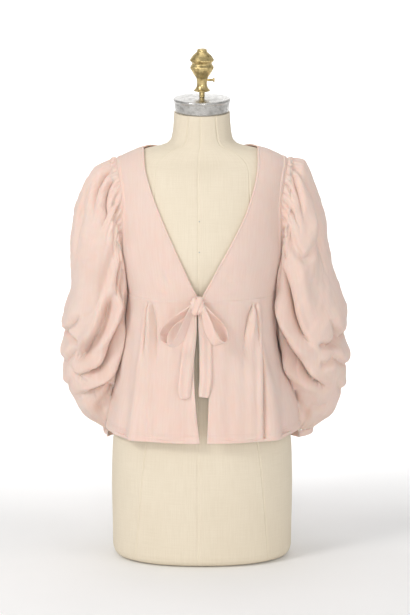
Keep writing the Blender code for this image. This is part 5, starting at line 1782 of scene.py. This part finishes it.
    def knot(self) -> Piece:
        """The knot: a rounded block |x|^3 + |y|^3 + |z|^3 = 1, wrapped by a slanting band and creased."""
        pole, rings, columns = 0.06, 48, 72
        ball = round_points(rings, columns, pole)
        block = (np.abs(ball) ** 3).sum(-1, keepdims=True) ** (1 / 3)
        across, height = ball[..., 0] / block[..., 0], ball[..., 2] / block[..., 0]
        slanted = 0.88 * across - 0.48 * height
        band = 0.09 * (1 - ease_in(np.abs(slanted + 0.10), 0.34, 0.52))
        edges = -0.12 * np.exp(-(((np.abs(slanted + 0.10) - 0.47) / 0.07) ** 2))
        ribs = 0.022 * np.sin(15 * slanted + 3 * height) * (np.abs(slanted + 0.10) < 0.40)
        fan = 0.045 * np.sin(10 * (height + 0.25 * across)) * ease_in(np.abs(slanted), 0.50, 0.75)
        size = np.clip(0.93 + band + edges + ribs + fan, 0.7, 1.03)
        down = np.linspace(pole, np.pi - pole, rings)[:, None] * 0.011
        cloth_map = joined(np.linspace(0, 0.060, columns + 1), down)
        points = ball / block * size[..., None] * self.knot_half + self.knot_centre
        return capped("knit_knot", points, cloth_map)

    def build(self, knit: Material) -> list[Piece]:
        """Makes and dresses the bow.

        Args:
            knit: The cloth's material.

        Returns:
            The pieces.
        """
        knot = self.knot()
        hand_over(knot, knit, "knit", "tie_knot")
        made = [knot]
        for side, sizes, flat in LOOPS:
            piece = self.loop(side, *sizes)
            hand_over(piece, knit, "knit", f"tie_loop_{side.word}")
            made.append(piece)
        for side, table, ridges, flat in TAILS:
            piece = self.tail(side, table, ridges)
            hand_over(piece, knit, "knit", f"tie_tail_{side.word}")
            made.append(piece)
        return made


# The form's seams beside its middle: height, degrees from centre front, degrees from centre back
PRINCESS_SEAMS = ((0.00, 46.0, 44.0), (0.18, 38.0, 38.0), (0.37, 31.0, 30.0), (0.56, 34.0, 30.0),
                  (0.72, 30.0, 30.0), (0.806, 27.0, 27.0))
PIN_HEIGHTS = (0.6230, 0.5700)
PIN_ACROSS, PIN_RADIUS, PIN_SUNK = -0.0045, 0.0013, 0.0004
# Turned profiles: radius, and height along the neck's axis
CAP_PROFILE = in_metres(
    (47, 0), (47.6, 2), (49.6, 18), (50.8, 20.5), (50.8, 22.5), (49, 24), (20, 25.2), (2, 25.5),
)
STEM_PROFILE = in_metres(
    (4.4, 25.8), (4.8, 26.4), (4.8, 35.6), (4.4, 36.2),
)
FINIAL_PROFILE = in_metres(
    (12, 36.5), (13.8, 37), (14.1, 38.7), (11.5, 41.5), (9.1, 47.5), (9.4, 55.5), (10.4, 60.5),
    (14.9, 67), (19, 74), (20.3, 77.5), (20.5, 80), (19.8, 82), (18.1, 84.5), (17.8, 86.5), (19, 89),
    (20.8, 91.5), (20.7, 93.5), (19.6, 95.5), (16.3, 100.5), (12, 104.5), (9.2, 107), (8.7, 109),
    (8.6, 110.8), (7, 112),
)
# The finial's beads and teeth: height, half height, how many round, rise
FINIAL_FLUTES = ((0.0920, 0.0022, 60, 0.0007), (0.0790, 0.0022, 60, 0.0006), (0.0383, 0.0012, 40, 0.0004))
SCREW_HEIGHT = 0.0565
CORNER_CUT = 0.0009  # how far from a turned profile's corner its small arc begins
# The screw's sections: distance from the axis, radius, flute
SCREW_SECTIONS = in_metres(
    (8.5, 2.1, 0), (19, 2.1, 0), (19.4, 2.3, 0), (19.7, 3.2, 0.2), (20.2, 3.6, 0.3), (22, 3.6, 0.3),
    (22.5, 3.1, 0.2), (22.6, 1.5, 0),
)


@dataclass(frozen=True)
class DressForm:
    """The limbless form: linen body sewn from gores, steel neck cap, brass stem and finial."""

    body: BodyShape = BODY_SHAPE
    rows: int = 150
    tilt: float = NECK_TILT
    cap_foot: Row = (0.0, 0.0010, 0.8065)
    seam_dip: float = 0.0008
    seam_width: float = 0.0011
    seam_lip: float = 0.0004

    def gores(self, height: Array) -> tuple[Array, Array]:
        """Turns of the columns at each height, and each column's distance from its nearest seam.

        Between two seams a column keeps the same share of the way, and shares are closest together
        beside the seams.
        """
        princess_front, princess_back = np.radians(curve_through(PRINCESS_SEAMS, height)).T
        centre = np.radians(-2.0) + 0 * height
        quarter = np.pi / 2 + 0 * height
        seams = [centre, princess_front, quarter, np.pi - princess_back, np.pi + 0 * height,
                 np.pi + princess_back, 3 * quarter, 2 * np.pi - princess_front, 2 * np.pi + centre]
        edge = np.array([0, 0.008, 0.016, 0.028, 0.045, 0.08])
        share = np.concatenate([edge, np.linspace(0.13, 0.87, 9), 1 - edge[:0:-1]])
        turns = [a[:, None] + (b - a)[:, None] * share for a, b in zip(seams[:-1], seams[1:])]
        away = [np.minimum(share, 1 - share) * (b - a)[:, None] for a, b in zip(seams[:-1], seams[1:])]
        return np.hstack(turns), np.hstack(away) * self.body.form_level(height)[:, :1]

    def torso(self) -> Piece:
        """The body from its flat base to the leaning top of its neck, with a groove at each seam."""
        table = np.array(self.body.form)
        height = np.unique(np.concatenate([table[:, 0], np.linspace(0, table[-1, 0], self.rows)]).round(5))
        turn, from_seam = self.gores(height)
        rings = self.body.on_level(turn, height[:, None], self.body.form_level(height)[:, None])
        dip = -self.seam_dip * np.exp(-((from_seam / self.seam_width) ** 2))
        dip += self.seam_lip * np.exp(-(((from_seam - 0.0026) / 0.0016) ** 2))
        outward = unit(rings * (1, 1, 0))
        rings = rings + outward * (dip * ease_in(height, 0.001, 0.012)[:, None])[..., None]
        lean = np.tan(self.tilt) * ease_in(height, NECK_LEAN_START, table[-1, 0])
        rings[..., 2] += rings[..., 1] * lean[:, None]
        flat_turn = np.hstack([turn, turn[:, :1] + 2 * np.pi])
        cloth_map = joined(flat_turn * 0.15, height[:, None])
        return capped("linen_body", rings, cloth_map)

    def leaned(self, rings: Array) -> Array:
        """Points about the top's own axis, leaned to the front with the neck and set on it."""
        cos, sin = np.cos(self.tilt), np.sin(self.tilt)
        turn = np.array([[1, 0, 0], [0, cos, sin], [0, -sin, cos]])
        return rings @ turn + self.cap_foot

    def turned(self, name: str, profile: Table, flutes: Table = (), steps: int = 120) -> Piece:
        """A solid turned about the top's leaning axis: radius along a profile of (radius, height).

        Flutes add rise * |cos(n a / 2)| to the radius near their heights.

        Args:
            name: The piece's name.
            profile: Radius and height, from the foot.
            flutes: Height, half height, how many round, rise.
            steps: Places round.

        Returns:
            The object.
        """
        path = smooth_path(profile, 8 * len(profile)) if len(profile) > 8 else self.rounded(profile)
        angle = full_turn(steps)
        radius, height = path[:, :1] + 0 * angle, path[:, 1:] + 0 * angle
        for middle, half, count, rise in flutes:
            near = np.exp(-(((height - middle) / half) ** 4))
            radius = radius + rise * near * (np.abs(np.cos(count * angle / 2)) - 0.6)
        rings = joined(radius * np.cos(angle), radius * np.sin(angle), height)
        return capped(name, self.leaned(rings))

    @staticmethod
    def rounded(profile: Table) -> Array:
        """A profile with each inner corner cut to a small arc of five points."""
        points = np.asarray(profile, float)
        steps = np.linspace(0, 1, 5)[:, None]
        parts = [points[:1]]
        for before, corner, after in zip(points[:-2], points[1:-1], points[2:]):
            ways = (before - corner, after - corner)
            first, last = (corner + way * min(0.45, CORNER_CUT / np.linalg.norm(way)) for way in ways)
            parts.append((1 - steps) ** 2 * first + 2 * steps * (1 - steps) * corner + steps**2 * last)
        return np.vstack([*parts, points[-1:]])

    def screw(self) -> Piece:
        """The small screw in the finial's side, to the right: a pin with a fluted round head."""
        table = np.array(SCREW_SECTIONS)
        angle = full_turn(48)
        reach, radius, flute = (table[:, k : k + 1] for k in range(3))
        radius = radius + flute * (np.abs(np.cos(7 * angle)) - 0.6)
        deep, up = radius * np.cos(angle), SCREW_HEIGHT + radius * np.sin(angle)
        return capped("brass_screw", self.leaned(joined(reach, deep, up)))

    def pins(self) -> Piece:
        """Two pin heads on the centre front seam, small domes of one object."""
        ball = round_points(9, 14, 0.15) * (1, 0.6, 1) * PIN_RADIUS
        points, faces = [], []
        for height in PIN_HEIGHTS:
            face = -self.body.front_of(np.array(PIN_ACROSS), self.body.form_level(height))
            head = capped("pin", ball + (PIN_ACROSS, face - PIN_SUNK, height))
            spots = np.empty(3 * len(head.data.vertices))
            head.data.vertices.foreach_get("co", spots)
            start = sum(map(len, points))
            faces += [[corner + start for corner in face.vertices] for face in head.data.polygons]
            points.append(spots.reshape(-1, 3))
            bpy.data.objects.remove(head, do_unlink=True)
        return new_object("front_pins", np.vstack(points), faces)

    def build(self, linen: Material, steel: Material, brass: Material) -> list[Piece]:
        """Makes and dresses the form.

        Args:
            linen: The body's material.
            steel: The cap's and the pins'.
            brass: The stem's, the finial's and the screw's.

        Returns:
            The pieces.
        """
        made = [
            (self.torso(), linen, "linen", ("form_torso",)),
            (self.turned("steel_cap", CAP_PROFILE), steel, "steel", ("form_neck_cap",)),
            (self.turned("brass_stem", STEM_PROFILE, steps=48), brass, "brass", ("form_stem",)),
            (self.turned("brass_finial", FINIAL_PROFILE, FINIAL_FLUTES, 288), brass, "brass",
             ("form_finial",)),
            (self.screw(), brass, "brass", ("form_thumbscrew",)),
            (self.pins(), steel, "steel", ()),
        ]
        for piece, finish, slot, nodes in made:
            hand_over(piece, finish, slot, *nodes)
        return [piece for piece, *_ in made]


MIDDLE = (0.0, 0.0, 0.50)
WARM, WHITE = (1.0, 0.985, 0.965), (1.0, 1.0, 1.0)
# Each light: name, place, the point that it is turned to, size, watts, colour
LIGHTS = (
    ("key_light", (-2.1, -2.0, 2.3), MIDDLE, 0.9, 35.0, WARM),
    ("fill_light", (2.4, -2.2, 1.3), MIDDLE, 2.0, 7.0, WARM),
    ("front_light", (0.1, -4.2, 1.2), MIDDLE, 0.9, 42.0, WARM),
    ("top_light", (0.0, 0.2, 3.0), MIDDLE, 1.6, 10.0, WHITE),
    ("wall_light", (0.0, 1.6, 2.6), (0.0, 4.8, 0.9), 3.0, 110.0, WHITE),
)


@dataclass(frozen=True)
class Studio:
    """The paper cove behind and under the form, its soft lights, and the camera."""

    target: Row = (0.0054, 0.0, 0.4535)  # the point at the middle of the picture
    distance: float = 4.5
    pitch: float = 9.0  # degrees that the camera looks down
    pixel: float = 0.0018  # metres for a pixel at the target
    frame_height: int = 615
    sensor: float = 36.0
    ambient: float = 0.50
    cove_start: float = 3.2  # how far behind the form the floor begins to bend up
    cove_bend: float = 1.6  # radius of that bend
    cove_reach: float = 9.0  # how far the floor and the wall go

    def camera(self) -> None:
        """The camera: its lens shows frame_height pixels of this size at the target."""
        data = bpy.data.cameras.new("camera")
        data.sensor_width = self.sensor
        data.lens = self.sensor * self.distance / (self.pixel * self.frame_height)
        data.clip_end = 60.0
        made = bpy.data.objects.new("camera", data)
        pitch = np.radians(self.pitch)
        made.location = np.array(self.target) + self.distance * np.array([0, -np.cos(pitch), np.sin(pitch)])
        made.rotation_euler = (np.pi / 2 - pitch, 0, 0)
        bpy.context.scene.collection.objects.link(made)
        bpy.context.scene.camera = made

    def cove(self) -> None:
        """Floor and wall as one sheet: level, then a quarter turn, then upright."""
        bend = np.linspace(0, np.pi / 2, 24)
        wall = self.cove_start + self.cove_bend
        arc = (self.cove_start + self.cove_bend * np.sin(bend), self.cove_bend * (1 - np.cos(bend)))
        profile = np.vstack([[[-self.cove_reach, 0.0]], np.stack(arc, axis=-1), [[wall, self.cove_reach]]])
        across = np.linspace(-self.cove_reach, self.cove_reach, 5)
        deep, up = (profile[:, k : k + 1] + 0 * across for k in (0, 1))
        grid = joined(across, deep, up)
        quads = grid_quads(np.arange(deep.size).reshape(deep.shape))
        made = new_object("studio_cove", grid.reshape(-1, 3), quads)
        made.data.materials.append(FloorFinish().make())

    @staticmethod
    def soft_light(name: str, place: Row, aim: Row, size: float, power: float, colour: Row) -> None:
        """A square area light at a place, turned to a point."""
        data = bpy.data.lights.new(name, "AREA")
        data.size, data.energy, data.color = size, power, colour
        made = bpy.data.objects.new(name, data)
        made.location = place
        ahead = unit(np.array(aim) - np.array(place))
        made.rotation_euler = (np.arccos(-ahead[2]), 0, np.arctan2(ahead[1], ahead[0]) - np.pi / 2)
        bpy.context.scene.collection.objects.link(made)

    def build(self) -> None:
        """Sets the camera, the cove, the lights and the pale surround."""
        self.camera()
        self.cove()
        for light in LIGHTS:
            self.soft_light(*light)
        world = bpy.data.worlds.new("studio_air")
        world.use_nodes = True
        ground = world.node_tree.nodes["Background"]
        ground.inputs[0].default_value = (1.0, 1.0, 1.0, 1.0)
        ground.inputs[1].default_value = self.ambient
        bpy.context.scene.world = world
        bpy.context.scene.view_settings.view_transform = "Standard"


def main() -> None:
    """Loads the frame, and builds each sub-assembly in order."""
    logging.basicConfig(level=logging.INFO, format="%(message)s")
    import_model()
    knit = KnitFinish().make()
    thread = KnitFinish(name="blush_thread", colour=(0.90, 0.72, 0.65), wale=0.0006, course=0.0006).make()
    linen = LinenFinish().make()
    steel = MetalFinish("brushed_steel", (0.55, 0.54, 0.52), (0.40, 0.39, 0.37), 0.24, 0.38, 0.00005).make()
    brass = MetalFinish("old_brass", (0.66, 0.52, 0.25), (0.36, 0.27, 0.12), 0.26, 0.46, 0.00004).make()
    Studio().build()
    pieces = DressForm().build(linen, steel, brass)
    pieces += Bodice().build(knit)
    pieces += Peplum().build(knit, thread)
    left = Sleeve(Side.LEFT, LEFT_SLEEVE, LEFT_SLEEVE_FOLDS, RIGHT_SLEEVE_FOLDS, LEFT_OUTLINE, 21)
    right = Sleeve(Side.RIGHT, RIGHT_SLEEVE, RIGHT_SLEEVE_FOLDS, LEFT_SLEEVE_FOLDS, RIGHT_OUTLINE, 45)
    for sleeve in (left, right):
        pieces += sleeve.build(knit, thread)
    pieces += Tie().build(knit)
    for piece in pieces:
        LOG.info(measure(piece))


if __name__ == "__main__":
    main()
